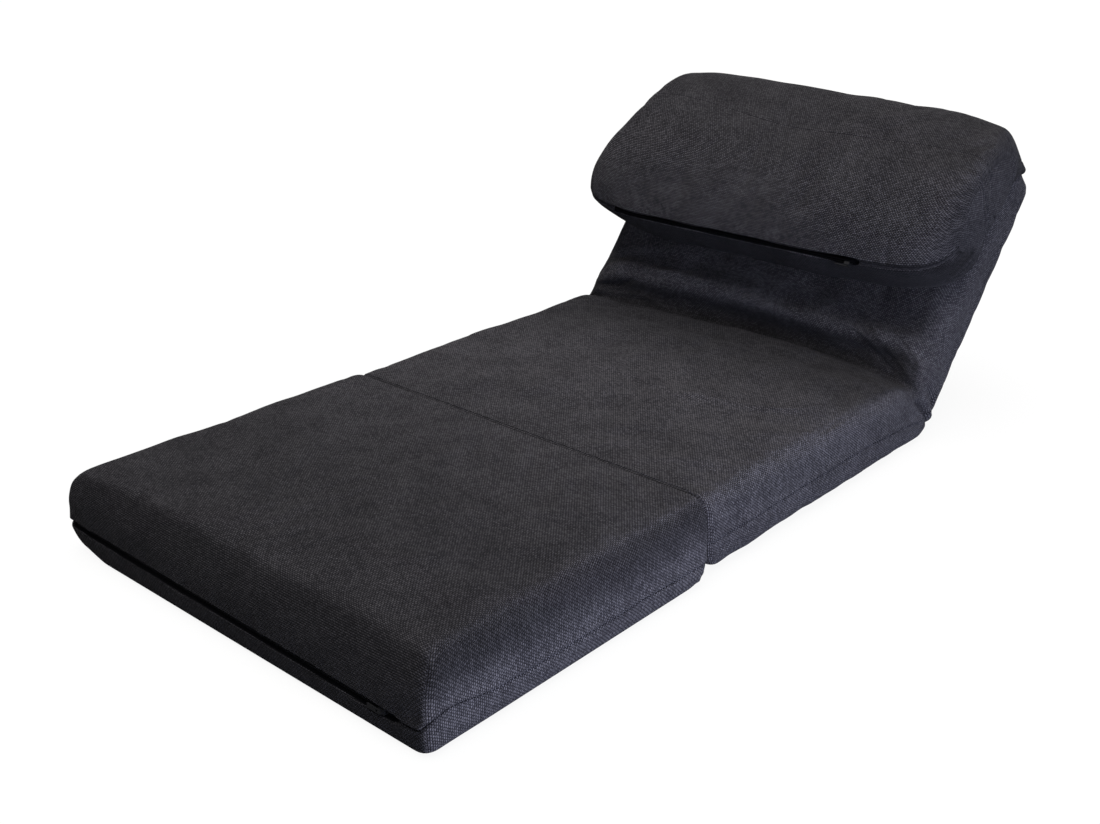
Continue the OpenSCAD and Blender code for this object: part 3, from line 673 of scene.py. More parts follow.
def buildFoot(d):
    # a stack of rounded rectangles: width and length less the rounding in at each height
    across = spread(d["columns"], d["step"] / (2 * d["half"]))
    along = spread(d["rows"], d["step"] / d["length"])
    low, high = d["low"], d["height"]
    # seam height round the ring: the zip's line on the front, the side seam on both sides
    side = curveAt(along, np.transpose(d["seamSide"]))
    front = np.interp(across, (0, 1), d["zipEnds"])
    seam = ringColumns(front, side, np.full(len(across), side[-1]), side[::-1])
    acrossX = (across - 0.5) * 2 * d["half"]
    none, one = np.zeros(len(along)), np.ones(len(along))
    slot = ringColumns(within(acrossX, d["zipFrom"], d["zipTo"], d["zipFade"]), none, 0 * across, none)
    offset, depth = sewnRows(slot)
    t = np.linspace(0, 1, d["lowRows"]) ** 0.9
    lowPart = low + t[:, None] * (seam - seamReach - low)
    highPart = seam + seamReach + np.array(d["highRows"])[:, None] * (high - seam - seamReach)
    z = np.concatenate([lowPart[:-1], seam + offset, highPart])
    inward = np.concatenate([0 * lowPart[:-1], depth, 0 * highPart])
    half = (d["half"] + swell(z, -0.04, high + 0.008, d["belly"])
            - edgeIn(z, low, high, d["foot"], d["edge"]))
    # the nose is tighter towards its corners
    left, right = (1 - (1 - end) * smooth((acrossX * way - 0.20) / 0.14)
                   for end, way in zip(d["noseEnds"], (-1, 1)))
    tight = left * right
    tight = ringColumns(tight, one * tight[-1], np.ones(len(across)), one * tight[0])
    front = (-d["length"] - d["nose"]
             + edgeIn(z, low, high, d["noseUnder"], [v * tight for v in d["noseRound"]]))
    rear = -d["gap"] - edgeIn(z, low, high, d["rearUnder"], d["rearTop"])
    x, y = outlineRings(half, front, rear, *d["corners"], across, along)
    x, y = drawIn(x, y, inward)
    rings = np.stack([x, y, z], -1)
    points, quads, cloth = closeBox(rings, across, along, boxCloth(rings), dome=(0, d["crown"]))
    # the crown runs out towards the cross seam, so that the cushion can fold on to the seat
    crown = np.maximum(points[:, 2] - high, 0)
    points[:, 2] -= crown * (1 - smooth(-points[:, 1] / d["flatBy"]))
    ringHeld, inSlot = np.zeros(z.shape), np.zeros(z.shape)
    ringHeld[seamIn(lowPart)] = 1
    ringHeld[:3] = 1
    inSlot[seamIn(lowPart)][slotRows] = slot > 0.5
    held = wallField(points, ringHeld, 0)
    held[points[:, 2] < low + 0.001] = 1
    held[points[:, 1] > -0.016] = 1
    obj = softPiece("footCover", atSeam(points), quads, cloth, coverFabric, "foot", "cover_fabric", 0.9,
                    rest=points, fromSeam=wallField(points, z - seam, 1), lining=wallField(points, inSlot, 0))
    return obj, held


def finishFoot(obj, d):
    # each point moves along its normal by waves, gathers and puckers, each within its own area
    p, n, (x, y, z) = refined(obj)
    fromSeam = getField(obj.data, "fromSeam")
    top = smooth((n[:, 2] - 0.45) / 0.4)
    side = 1 - smooth((np.abs(n[:, 2]) - 0.25) / 0.3)
    move = top * d["topWaves"] * waves(14, 0.06, 0.22, 3)(x, y) * smooth(-y / 0.09)
    move += side * d["sideWaves"] * waves(12, 0.05, 0.16, 5)(x + y, z)
    # small gathers run down from the zip and up from it
    gathers = waves(16, 0.012, 0.034, 8)(x, 0.15 * z)
    above, below = np.maximum(fromSeam, 0), np.maximum(-fromSeam, 0)
    nearZip = smooth((-y - 0.44) / 0.03) * side
    move += nearZip * gathers * (d["gathers"][0] * np.exp(-above / 0.016) * (above > 0.006)
                                 + d["gathers"][1] * np.exp(-below / 0.010) * (below > 0.006))
    # puckers under the side seam, most towards the rear
    puckers = waves(18, 0.012, 0.030, 11)(y + 0.5 * z, 0.2 * z)
    onSide = smooth((np.abs(x) - 0.31) / 0.02) * side
    move += (onSide * puckers * np.exp(-((fromSeam + 0.014) / 0.010) ** 2)
             * (d["puckers"][0] + d["puckers"][1] * smooth((y + 0.24) / 0.1)))
    move *= 1 - within(z, -0.01, 0.0016, 0.004)
    move *= 1 - 0.85 * side * smooth((y + 0.020) / 0.015)
    p += n * move[:, None]
    # the lower corner at the zip's left end curls up and under
    curl = smooth((-x - 0.265) / 0.075) * smooth((-y - 0.435) / 0.065) * np.clip(1 - z / 0.044, 0, 1)
    setPoints(obj.data, p + curl[:, None] * np.array(d["curl"]))
    # painted shade: the front face darker, on a top that runs darker towards the front; the flanks get
    # painted light low down and painted shade near the top
    paintedShade = curveAt(y, d["nap"]) * (1 - 0.48 * smooth((-n[:, 1] - 0.30) / 0.4))
    onFlank = smooth((np.abs(n[:, 0]) - 0.4) / 0.35)
    layPaintedShading(obj, paintedShade * (1 - onFlank) + onFlank * curveAt(z, d["flankNap"]))


footCover, held = buildFoot(footCushion)
puff(footCover, held, footCushion)
finishFoot(footCover, footCushion)
lineSlot(footCover, zipTapeCloth)
declare(footCover, "foot_cover")
print("foot cushion:", len(footCover.data.polygons), "faces")

# seat and backrest

seatBack = {
    "seatLength": 0.585, "backLength": 0.442,
    "seatLow": -0.0426, "seatHigh": 0.071, "backLow": -0.039, "backHigh": 0.068,
    "seatHalf": 0.336, "backHalf": 0.337, "belly": 0.007, "crown": 0.004, "clothTall": 0.11,
    "corners": (0.012, 0.022), "nose": 0.0010,
    "columns": (0, 0.012, 0.04, 0.96, 0.988, 1), "step": 0.0095, "lowRows": 9,
    "rowSteps": (0.006, 0.009, 0.0095, 0.006, 0.0036, 0.006, 0.0095, 0.008, 0.005),
    "highRows": (0.09, 0.19, 0.30, 0.41, 0.52, 0.62, 0.71, 0.78, 0.845, 0.895, 0.935, 0.967, 0.989, 1.0),
    "seamSeat": ((-0.585, -0.513, -0.315, -0.115, -0.041), (0.049, 0.049, 0.050, 0.048, 0.042)),
    "seamBack": 0.030, "puffLimit": 0.006, "grow": 0.004, "slack": 0.15, "flatBy": 0.18, "droop": 0.011,
    "topWaves": 0.0022, "sideWaves": 0.0012, "puckers": 0.0010,
    # painted shade along the fabric: the seat's rear darker towards the fold and darkest in its hollow,
    # painted light on the roll above it
    "nap": ((-0.59, 0.98), (-0.50, 1.04), (-0.25, 1.04), (-0.14, 0.66), (-0.06, 0.50), (-0.01, 0.58),
            (0.03, 0.50), (0.052, 0.50), (0.060, 0.90), (0.068, 1.25), (0.086, 1.25), (0.102, 0.90),
            (0.12, 0.84), (0.15, 0.96), (0.46, 0.98)),
    # how far the front crease has moved towards the backrest across the width, 0 to 1
    "creaseBulge": ((-0.36, 0.02), (-0.298, -0.02), (-0.251, 0.12), (-0.201, 0.29), (-0.09, 0.71),
                    (-0.006, 0.97), (0.1, 0.83), (0.204, 0.41), (0.263, 0.02), (0.30, -0.06), (0.36, -0.06)),
}

# the fabric's path over the hinge and under it, as rows of (s, along, off): those of the seat lie at
# y = along, off above its face, those of the backrest at along up it, off out of its face
foldPaths = {
    # at both ends: the plain crease
    "ends": (((-0.62, -0.62, 0), (-0.11, -0.11, 0), (-0.073, -0.076, 0), (-0.035, -0.048, 0),
              (-0.018, -0.037, -0.001), (-0.008, -0.0315, -0.006)),
             ((0.002, 0.036, -0.006), (0.014, 0.041, -0.001), (0.035, 0.052, 0), (0.070, 0.073, 0),
              (0.105, 0.105, 0), (0.135, 0.135, 0), (0.46, 0.46, 0))),
    # beside the middle: the seat's soft rear edge, a hollow, and a roll of fabric above it
    "beside": (((-0.62, -0.62, 0), (-0.11, -0.11, 0), (-0.070, -0.072, 0.0005), (-0.050, -0.052, 0.001),
                (-0.036, -0.040, 0), (-0.026, -0.031, -0.004), (-0.016, -0.024, -0.010),
                (-0.006, -0.016, -0.010)),
               ((0.006, 0.047, -0.019), (0.020, 0.057, -0.019), (0.034, 0.068, -0.013),
                (0.050, 0.074, -0.003), (0.066, 0.085, 0.006), (0.084, 0.099, 0.005),
                (0.105, 0.114, -0.001), (0.135, 0.138, 0), (0.46, 0.46, 0))),
    # across the middle the same, further back, with the roll leaning over the hollow
    "middle": (((-0.62, -0.62, 0), (-0.11, -0.11, 0), (-0.070, -0.070, 0.001), (-0.035, -0.030, 0.0018),
                (-0.018, -0.011, 0.0006), (-0.008, -0.0015, -0.0035), (0.002, 0.0055, -0.0105),
                (0.012, 0.0140, -0.0100), (0.022, 0.0220, -0.003), (0.034, 0.0260, 0.008),
                (0.046, 0.0240, 0.020), (0.056, 0.0180, 0.030), (0.066, 0.0145, 0.040),
                (0.078, 0.0175, 0.050), (0.092, 0.0265, 0.059)),
               ((0.110, 0.130, -0.002), (0.142, 0.148, 0.002), (0.46, 0.46, 0))),
    "under": (((-0.62, -0.62, 0), (-0.03, -0.03, 0), (-0.015, -0.014, 0), (0.0, 0.004, 0.001),
               (0.015, 0.021, 0.009), (0.030, 0.039, 0.025)),
              ((0.048, 0.048, 0), (0.46, 0.46, 0))),
}

# creases as (keys, height, width, fade where it isn't 30 mm): across the hinge over (x, s), on the
# backrest over (x, up), on the seat over (x, y from the cross seam), down both sides over (off, up)
foldCreases = {
    "hinge": ((((-0.36, 0.000), (0, 0.004), (0.36, 0.000)), -0.0015, 0.0045),),
    "back": (
        (((-0.327, 0.071), (-0.312, 0.088), (-0.179, 0.110), (-0.014, 0.100), (0.141, 0.086), (0.214, 0.077),
          (0.291, 0.052)), 0.0034, 0.010),
        (((-0.30, 0.120), (-0.18, 0.139), (0, 0.130), (0.14, 0.114), (0.24, 0.100)), -0.0036, 0.010),
        (((-0.335, 0.045), (-0.314, 0.047), (-0.212, 0.062), (-0.158, 0.046)), 0.0040, 0.0045, 0.02),
        (((-0.32, 0.058), (-0.295, 0.065), (-0.249, 0.080)), -0.0050, 0.0036, 0.02),
        (((-0.288, 0.101), (-0.115, 0.112), (0.004, 0.119)), 0.0020, 0.008),
        (((0.198, 0.091), (0.250, 0.068), (0.294, 0.044), (0.34, 0.018)), -0.0052, 0.0040, 0.03),
        (((0.15, 0.076), (0.25, 0.054), (0.325, 0.026)), 0.0036, 0.0060, 0.03),
        (((0.215, 0.112), (0.270, 0.080), (0.326, 0.042)), 0.0042, 0.0060, 0.03),
        (((0.235, 0.124), (0.286, 0.094), (0.332, 0.056)), -0.0038, 0.0042, 0.03)),
    "seat": (
        (((-0.09, 0.275), (0.02, 0.262), (0.106, 0.250), (0.166, 0.273), (0.225, 0.291), (0.269, 0.318)),
         0.0034, 0.010),
        (((-0.28, 0.45), (-0.12, 0.43), (0.05, 0.455), (0.2, 0.47)), 0.0024, 0.018),
        (((-0.22, 0.505), (-0.05, 0.515), (0.12, 0.50)), -0.0020, 0.014)),
    "sides": (
        (((-0.045, -0.002), (-0.029, 0.0), (-0.016, 0.003), (0.007, 0.008), (0.028, 0.011), (0.05, 0.016)),
         -0.0045, 0.0045, 0.01),
        (((-0.04, 0.018), (-0.028, 0.022), (0.001, 0.032), (0.03, 0.040)), -0.0032, 0.0040, 0.012),
        (((-0.03, 0.011), (0.0, 0.019), (0.03, 0.027)), 0.0028, 0.0060, 0.012)),
}


def fabricPath(s, rows, seatFace, backFace):
    # (y, z) from the pivot at s, straight between the points of a path
    seat, back = rows
    points = [(y, seatFace + off) for _, y, off in seat]
    points += [onBack(up, backFace + off) for _, up, off in back]
    at = [row[0] for row in seat + back]
    return [np.interp(s, at, values) for values in np.transpose(points)]


def foldMap(rest, d):
    # rest is (x, s, w); w runs from the fabric's path under the hinge to its path over it
    x, s, w = rest.T
    ends, beside, middle = (fabricPath(s, foldPaths[key], d["seatHigh"], d["backHigh"])
                            for key in ("ends", "beside", "middle"))
    under = fabricPath(s, foldPaths["under"], d["seatLow"], d["backLow"])
    mid = curveAt(x, d["creaseBulge"])
    nearEnd = smooth((np.abs(x) - 0.275) / 0.062)
    over = [(1 - mid) * beside[c] + mid * middle[c] for c in (0, 1)]
    over = [(1 - nearEnd) * over[c] + nearEnd * ends[c] for c in (0, 1)]
    y, z = ((1 - w) * under[c] + w * over[c] for c in (0, 1))
    return np.stack([x, y + pivot[1], z + pivot[2]], -1)


def buildSeatBack(d):
    # a stack of rounded rectangles over (x, s), drawn straight and then laid along the fold's paths
    seat, total = d["seatLength"], d["seatLength"] + d["backLength"]
    across = spread(d["columns"], d["step"] / (2 * d["seatHalf"]))
    breaks = np.array([0, 0.02, 0.075, seat - 0.085, seat - 0.035, seat + 0.02, seat + 0.14,
                       total - 0.06, total - 0.02, total]) / total
    along = np.concatenate([spread([a, b], step / total)[:-1]
                            for a, b, step in zip(breaks, breaks[1:], d["rowSteps"])] + [[1.0]])
    s = along * total - seat
    toBack = smooth((s + 0.03) / 0.08)
    tallSide = (1 - toBack) * (d["seatHigh"] - d["seatLow"]) + toBack * (d["backHigh"] - d["backLow"])
    seamSide = ((1 - toBack) * curveAt(s, np.transpose(d["seamSeat"])) + toBack * d["seamBack"]) / tallSide
    one = np.ones(len(across))
    seam, back, tall = (ringColumns(one * side[0], side, one * side[-1], side[::-1])
                        for side in (seamSide, toBack, tallSide))
    offset, depth = sewnRows()
    t = np.linspace(0, 1, d["lowRows"]) ** 0.9
    lowPart = t[:, None] * (seam - seamReach / tall)
    above = seam + seamReach / tall
    highPart = above + np.array(d["highRows"])[:, None] * (1 - above)
    w = np.concatenate([lowPart[:-1], seam + offset / tall, highPart])
    inward = np.concatenate([0 * lowPart[:-1], depth + 0 * tall, 0 * highPart])
    h = w * tall
    seatHalf = (d["seatHalf"] + swell(h, -0.04, tall + 0.008, d["belly"])
                - edgeIn(h, 0, tall, (0.028, 0.018), (0.024, 0.017)))
    backHalf = (d["backHalf"] + swell(h, -0.02, tall + 0.01, d["belly"])
                - edgeIn(h, 0, tall, (0.020, 0.015), (0.036, 0.030)))
    half = (1 - back) * seatHalf + back * backHalf
    front = d["nose"] - seat + edgeIn(h, 0, tall, (0.040, 0.048), (0.005, 0.003))
    rear = d["backLength"] - edgeIn(h, 0, tall, (0.022, 0.014), (0.048, 0.036))
    x, y = outlineRings(half, front, rear, *d["corners"], across, along)
    x, y = drawIn(x, y, inward)
    rings = np.stack([x, y, w], -1)
    flat = boxCloth(rings * np.array([1, 1, d["clothTall"]]))
    points, quads, cloth = closeBox(rings, across, along, flat)
    shaped = foldMap(points, d)
    top = smooth((points[:, 2] - 0.97) / 0.03)
    a = np.clip(points[:, 0] / 0.326, -1, 1)
    lift = d["crown"] * top * (1 - a ** 4) * smooth((points[:, 1] + seat) / d["flatBy"])
    shaped[:, 2] += lift * (1 - np.clip((points[:, 1] + 0.33) / 0.25, -1, 1) ** 4)
    shaped += (lift * (1 - np.clip((points[:, 1] - 0.25) / 0.20, -1, 1) ** 4))[:, None] * outBack
    ringHeld = np.zeros(w.shape)
    ringHeld[seamIn(lowPart)] = 1
    ringHeld[:2] = 1
    held = wallField(points, ringHeld, 0)
    held[points[:, 2] < 0.001] = 1
    held[(points[:, 1] > -0.05) & (points[:, 1] < 0.06)] = 1
    held[points[:, 1] < 0.016 - seat] = 1
    obj = softPiece("seatBackCover", shaped, quads, cloth, coverFabric, "seat", "cover_fabric", 0.85,
                    rest=points)
    return obj, held


def finishSeatBack(obj, d):
    # each point moves along its normal by waves, creases and puckers, each within its own area
    p, n, (x, s, w) = refined(obj)
    a, h = (p - pivot) @ upBack, (p - pivot) @ outBack
    top = smooth((w - 0.93) / 0.05)
    onSeat, onRest = smooth((-0.02 - s) / 0.03), smooth((a - 0.03) / 0.03) * smooth(s / 0.01)
    side = 1 - top - smooth((0.06 - w) / 0.05)
    move = top * d["topWaves"] * waves(16, 0.06, 0.24, 21)(x, s) * smooth((s + 0.585) / 0.09)
    move += side * d["sideWaves"] * waves(12, 0.05, 0.16, 22)(x + s, w * d["clothTall"])
    # the crease at the foot of the backrest, the full fold above it and the pleats at its ends
    move += top * (creases(x, s, foldCreases["hinge"]) + creases(x, a, foldCreases["back"]) * onRest
                   + creases(x, p[:, 1] - seamY, foldCreases["seat"]) * onSeat)
    # folds that run on down both sides from the creases
    onSide = smooth((np.abs(x) - 0.315) / 0.015) * side
    down = creases(h, a, foldCreases["sides"])
    puckers = waves(18, 0.012, 0.030, 23)(s + 0.4 * w * d["clothTall"], 0.2 * w)
    move += onSide * (down + d["puckers"] * puckers * np.exp(-((w - 0.30) / 0.12) ** 2))
    move *= 1 - smooth((0.02 - w) / 0.02) * onSeat
    move *= 1 - 0.85 * side * smooth((-0.565 - s) / 0.015)
    p += n * move[:, None]
    # the seat's rear corner on the right hangs lower, where the pleats run together
    droop = (d["droop"] * smooth((x - 0.235) / 0.090) * np.exp(-((s + 0.028) / 0.042) ** 2)
             * smooth((w - 0.45) / 0.4))
    p[:, 2] -= droop * (1 - smooth((a - 0.055) / 0.03))
    setPoints(obj.data, p)
    # painted light makes the flanks lighter, and painted shade darkens them in the side creases and where the
    # hollow runs out over the edge
    onFlank = smooth((np.abs(n[:, 0]) - 0.5) / 0.3)
    runOut = smooth((w - 0.62) / 0.28) * np.exp(-((s - 0.012) / 0.030) ** 2)
    flank = 1.08 - 0.42 * np.maximum(runOut, np.clip(-down / 0.004, 0, 1))
    layPaintedShading(obj, curveAt(s, d["nap"]) * (1 - onFlank) + onFlank * flank)


seatCover, held = buildSeatBack(seatBack)
puff(seatCover, held, seatBack)
finishSeatBack(seatCover, seatBack)
declare(seatCover, "seat_cover", "fold_cover", "back_cover",
        blend=("seat", "back", pivot + np.array([0, -0.075, 0]), pivot + 0.075 * upBack))
print("seat and backrest:", len(seatCover.data.polygons), "faces")

# pillow

pillow = {
    "low": 0.157, "top": 0.506, "face": 0.073, "thick": 0.136, "backLength": 0.442,
    "half": 0.357, "sag": 0.012, "step": 0.0085, "perKey": 24, "dome": 0.006, "corner": (4.2, 6.5),
    "underSide": 0.200, "zipAt": 0.345, "zipFrom": -0.272, "zipTo": 0.214, "zipFade": 0.010,
    "frontSide": 0.331, "crossAt": 0.465, "crossDepth": 0.45,
    # shares of the half width: crowded near both ends, even between them
    "endColumns": (0.935, 0.955, 0.972, 0.985, 0.994, 0.9985, 1), "evenColumns": (0.91, 84),
    # how far the cross seam lies above its middle, across the width
    "seamDrift": ((-0.36, 0.040), (-0.329, 0.038), (-0.252, 0.034), (-0.158, 0.024), (-0.022, 0.0),
                  (0.115, -0.001), (0.266, 0.008), (0.36, 0.007)),
    "pinch": ((0.12, 0.0), (0.20, 0.0), (0.235, 0.012), (0.27, 0.045), (0.31, 0.078), (0.36, 0.095),
              (0.41, 0.105), (0.46, 0.110), (0.50, 0.110), (0.55, 0.110)),
    "taper": 0.075, "puffLimit": 0.006, "grow": 0.006, "slack": 0.1, "waves": 0.0022, "gathers": 0.0011,
    # the end panels: a seam round the front of each with a welt beside it, and a fold behind it
    "endCreases": (
        (((0.085, 0.250), (0.100, 0.278), (0.107, 0.289), (0.122, 0.297), (0.143, 0.307), (0.166, 0.316),
          (0.185, 0.330), (0.20, 0.345)), -0.0028, 0.0026, 0.01),
        (((0.085, 0.243), (0.100, 0.271), (0.107, 0.282), (0.122, 0.290), (0.143, 0.300), (0.166, 0.309),
          (0.185, 0.323), (0.20, 0.338)), 0.0014, 0.0040, 0.01),
        (((0.080, 0.385), (0.097, 0.399), (0.116, 0.417), (0.132, 0.435)), -0.0030, 0.0034, 0.01)),
}


def pillowSection(d):
    # corners of the side view as (up the backrest, off its front), anticlockwise from the lower front
    lo, to, fa, th, bl = d["low"], d["top"], d["face"], d["thick"], d["backLength"]
    return np.array([
        (lo + 0.063, fa + th), (lo + 0.021, fa + 0.122), (lo, fa + 0.098), (lo + 0.001, fa + 0.042),
        (lo + 0.009, fa + 0.014), (lo + 0.045, fa), (lo + 0.165, fa), (bl - 0.026, fa), (bl - 0.004, 0.058),
        (bl + 0.003, 0.020), (bl + 0.008, -0.012), (to - 0.034, -0.014), (to - 0.006, 0.024),
        (to, fa + 0.008), (to - 0.036, fa + 0.062), (lo + 0.227, fa + 0.110), (lo + 0.131, fa + th + 0.004)])


def closedCurve(keys, steps):
    # Catmull-Rom through the keys, closed
    a, b, c, e = (np.roll(keys, n, 0)[:, None] for n in (1, 0, -1, -2))
    t = (np.arange(steps) / steps)[None, :, None]
    return ((2 * b + (c - a) * t + (2 * a - 5 * b + 4 * c - e) * t ** 2
             + (3 * b - a - 3 * c + e) * t ** 3) / 2).reshape(-1, 2)


def resample(path, shares):
    # points at the given shares of an open path's length
    run = np.concatenate([[0], np.cumsum(np.linalg.norm(np.diff(path, axis=0), axis=1))])
    return np.stack([np.interp(shares * run[-1], run, path[:, c]) for c in range(path.shape[1])], -1)


def endToEnd(d):
    # shares of the half width from -1 to 1: even between, crowded near both ends
    near, (even, columns) = np.array(d["endColumns"]), d["evenColumns"]
    return np.concatenate([-near[::-1], np.linspace(-even, even, columns), near])


def throughSeam(at, length, step):
    # shares of a side with the rows of a seam round the share at, and where those rows are
    rows = sewnRows()[0][:, 0] / length
    before, after = spread([0, at + rows[0]], step / length), spread([at + rows[-1], 1], step / length)
    start = len(before) - 1
    return np.concatenate([before[:-1], at + rows, after[1:]]), np.arange(start, start + seamCount)


def buildPillow(d):
    # the side view's closed section, run across from end to end and drawn together at both ends
    steps = d["perKey"]
    fine = closedCurve(pillowSection(d), steps)
    fine = np.concatenate([fine, fine[:1]])
    corners = [steps * key for key in (0, 5, 7, 13, 17)]
    sides = [fine[a:b + 1] for a, b in zip(corners, corners[1:])]
    across, zipAt = throughSeam(d["zipAt"], d["underSide"], d["step"])
    along, crossAt = throughSeam(d["crossAt"], d["frontSide"], d["step"])
    turnAcross, turnAlong = 1 - across[::-1], 1 - along[::-1]
    ring = np.concatenate([resample(side, share)[:-1]
                           for side, share in zip(sides, (across, along, turnAcross, turnAlong))])
    u = endToEnd(d)[:, None]
    na, nb, count = len(across) - 1, len(along) - 1, len(ring)
    slot = within(u * d["half"], d["zipFrom"], d["zipTo"], d["zipFade"])
    offset, deep = sewnRows(slot.T)
    depth, moveAlong = np.zeros((len(u), count)), np.zeros((len(u), count))
    depth[:, zipAt] = deep.T
    moveAlong[:, zipAt] = (offset - sewnRows()[0]).T
    leftStart = 2 * na + nb
    depth[:, leftStart + nb - crossAt] += sewnRows()[1].T * d["crossDepth"]
    # the cross seam drifts along the front, and takes the fabric round it along
    frontShare = np.zeros(count)
    frontShare[leftStart:] = 1 - np.abs(turnAlong[:-1] - turnAlong[nb - crossAt][seamCount // 2]) / 0.45
    moveAlong -= curveAt(u * d["half"], d["seamDrift"]) * smooth(frontShare)[None]
    # the section, moved along itself at the zip and drawn in at the seams
    tangent = np.roll(ring, -1, 0) - np.roll(ring, 1, 0)
    tangent /= np.linalg.norm(tangent, axis=1, keepdims=True)
    normalIn = np.stack([-tangent[:, 1], tangent[:, 0]], -1)
    size = np.abs(u)
    close = np.where(size < 0.94, 1, 0.6 + 0.4 * np.sqrt(np.maximum(0, 1 - ((size - 0.94) / 0.06) ** 2)))
    scaleLong = (1 - np.where(u < 0, 0.09, 0.16) * size ** 6) * close
    scaleThick = (1 - 0.10 * size ** 6) * (0.3 + 0.7 * close)
    # the lower corners are superellipses, rounder near the backrest than at the front
    power = d["corner"][0] + (d["corner"][1] - d["corner"][0]) * smooth((ring[:, 1] - 0.100) / 0.08)[None]
    scaleLow = (1 - np.minimum(size, 0.995) ** power) ** (1 / power)
    mid = np.array([d["low"] + 0.165, d["face"] + 0.060])
    rearCorner = np.array([d["top"] - 0.034, -0.014])
    tilt = math.atan2(rearCorner[1] - d["face"] - 0.040, rearCorner[0] - d["low"])
    c, s = math.cos(tilt), math.sin(tilt)
    at = ring[None] + moveAlong[..., None] * tangent[None] + depth[..., None] * normalIn[None]
    rel = at - mid
    long = rel[..., 0] * c + rel[..., 1] * s
    long = long * np.where(long < 0, scaleLow, scaleLong)
    thick = (rel[..., 1] * c - rel[..., 0] * s) * scaleThick
    p, q = mid[0] + long * c - thick * s, mid[1] + long * s + thick * c
    p = p - d["sag"] * (u + 0.5) * np.maximum(0, p - mid[0]) / (d["top"] - mid[0])
    # what would lie in the backrest goes to its nearer face
    topEnd, faceAt = d["backLength"] + 0.001, d["face"]
    inEnd, inFace = topEnd - p, faceAt - q
    inside = (inEnd > 0) & (inFace > 0)
    p, q = (np.where(inside & (inFace >= inEnd), topEnd, p), np.where(inside & (inFace < inEnd), faceAt, q))
    # the left end is pinched between its lower front corner and its top, the right end only near it
    nearTop = smooth((p - 0.36) / 0.10)
    pinch = (curveAt(p, d["pinch"]) * smooth((q - 0.075 + 0.07 * nearTop) / 0.10)
             * smooth((-u - 0.35) / 0.65))
    pinch += d["taper"] * smooth((p - 0.40) / 0.11) * smooth((u - 0.45) / 0.55)
    x = u * d["half"] * (1 - pinch)
    rings = np.stack([p, q, x], -1)
    middle = rings[len(u) // 2]
    run = np.linalg.norm(np.diff(middle, axis=0, append=middle[:1]), axis=1)
    runAt = np.concatenate([[0], np.cumsum(run)[:-1]])[None] + 0 * p
    closing = runAt.copy()
    closing[:, 0] = run.sum()
    wall = np.stack([np.stack([x, runAt], -1)] * 3 + [np.stack([x, closing], -1)])
    points, quads, cloth = closeBox(rings, across, along, wall, dome=(d["dome"], d["dome"]), power=2)
    ringHeld, fromZip, inSlot = np.zeros(p.shape), np.ones(p.shape), np.zeros(p.shape)
    ringHeld[:, zipAt] = 1
    ringHeld[:, leftStart + nb - crossAt] = 1
    fromZip[:, :na] = (across[:-1] - d["zipAt"])[None] * d["underSide"]
    inSlot[:, zipAt[slotRows]] = slot > 0.5
    held = wallField(points, ringHeld, 0)
    held[(points[:, 0] < topEnd + 0.004) & (points[:, 1] < faceAt + 0.004)] = 1
    placed = backPoint(points[:, 0:1], points[:, 1:2], points[:, 2:3])
    obj = softPiece("pillowCover", placed, quads, cloth, coverFabric, "pillow", "cover_fabric", 0.8,
                    rest=points, fromZip=wallField(points, fromZip, 1), lining=wallField(points, inSlot, 0))
    return obj, held


def finishPillow(obj, d):
    # each point moves along its normal by waves, gathers and creases, each within its own area
    p, n, (a, h, x) = refined(obj)
    fromZip = getField(obj.data, "fromZip")
    move = d["waves"] * waves(14, 0.07, 0.26, 31)(x, a + 0.6 * h)
    # gathers run up from the zip's line, deepest towards the ends
    gathers = waves(18, 0.011, 0.026, 33)(x, 0.12 * h)
    up = np.maximum(-fromZip, 0)
    ends = 0.6 + 1.3 * smooth((np.abs(x) - 0.20) / 0.08)
    move += d["gathers"] * ends * gathers * np.exp(-up / 0.022) * (up > 0.006) * (fromZip < 0.5)
    move += smooth((np.abs(x) - 0.325) / 0.02) * creases(h, a, d["endCreases"])
    # what lies against the backrest stays flat
    move *= 1 - within(h, -0.05, d["face"] + 0.001, 0.008) * within(a, 0.0, d["backLength"] + 0.001, 0.004)
    setPoints(obj.data, p + n * move[:, None])
    # painted shade: the faces that look down darker, the more so away from the backrest, the top a little
    # darker and both ends darker
    under = smooth((-n[:, 2] - 0.05) / 0.35) * (0.30 + 0.39 * smooth((h - 0.082) / 0.03))
    paintedShade = 0.92 - 0.05 * smooth((n[:, 2] - 0.72) / 0.2) - under
    layPaintedShading(obj, paintedShade * (1 - 0.22 * smooth((np.abs(n[:, 0]) - 0.4) / 0.35)))


pillowCover, held = buildPillow(pillow)
puff(pillowCover, held, pillow)
finishPillow(pillowCover, pillow)
lineSlot(pillowCover, zipTapeCloth)
declare(pillowCover, "pillow_cover")
print("pillow:", len(pillowCover.data.polygons), "faces")

# foam blocks and the pillow's filling

foamBlock = {"half": 0.3238, "radius": 0.006, "levels": (0, 0.0012, 0.0035, 0.006), "corner": 0.012,
             "columns": ((0, 0.02, 0.98, 1), 0.04), "rows": ((0, 0.02, 0.98, 1), 0.05), "heights": 0.02}


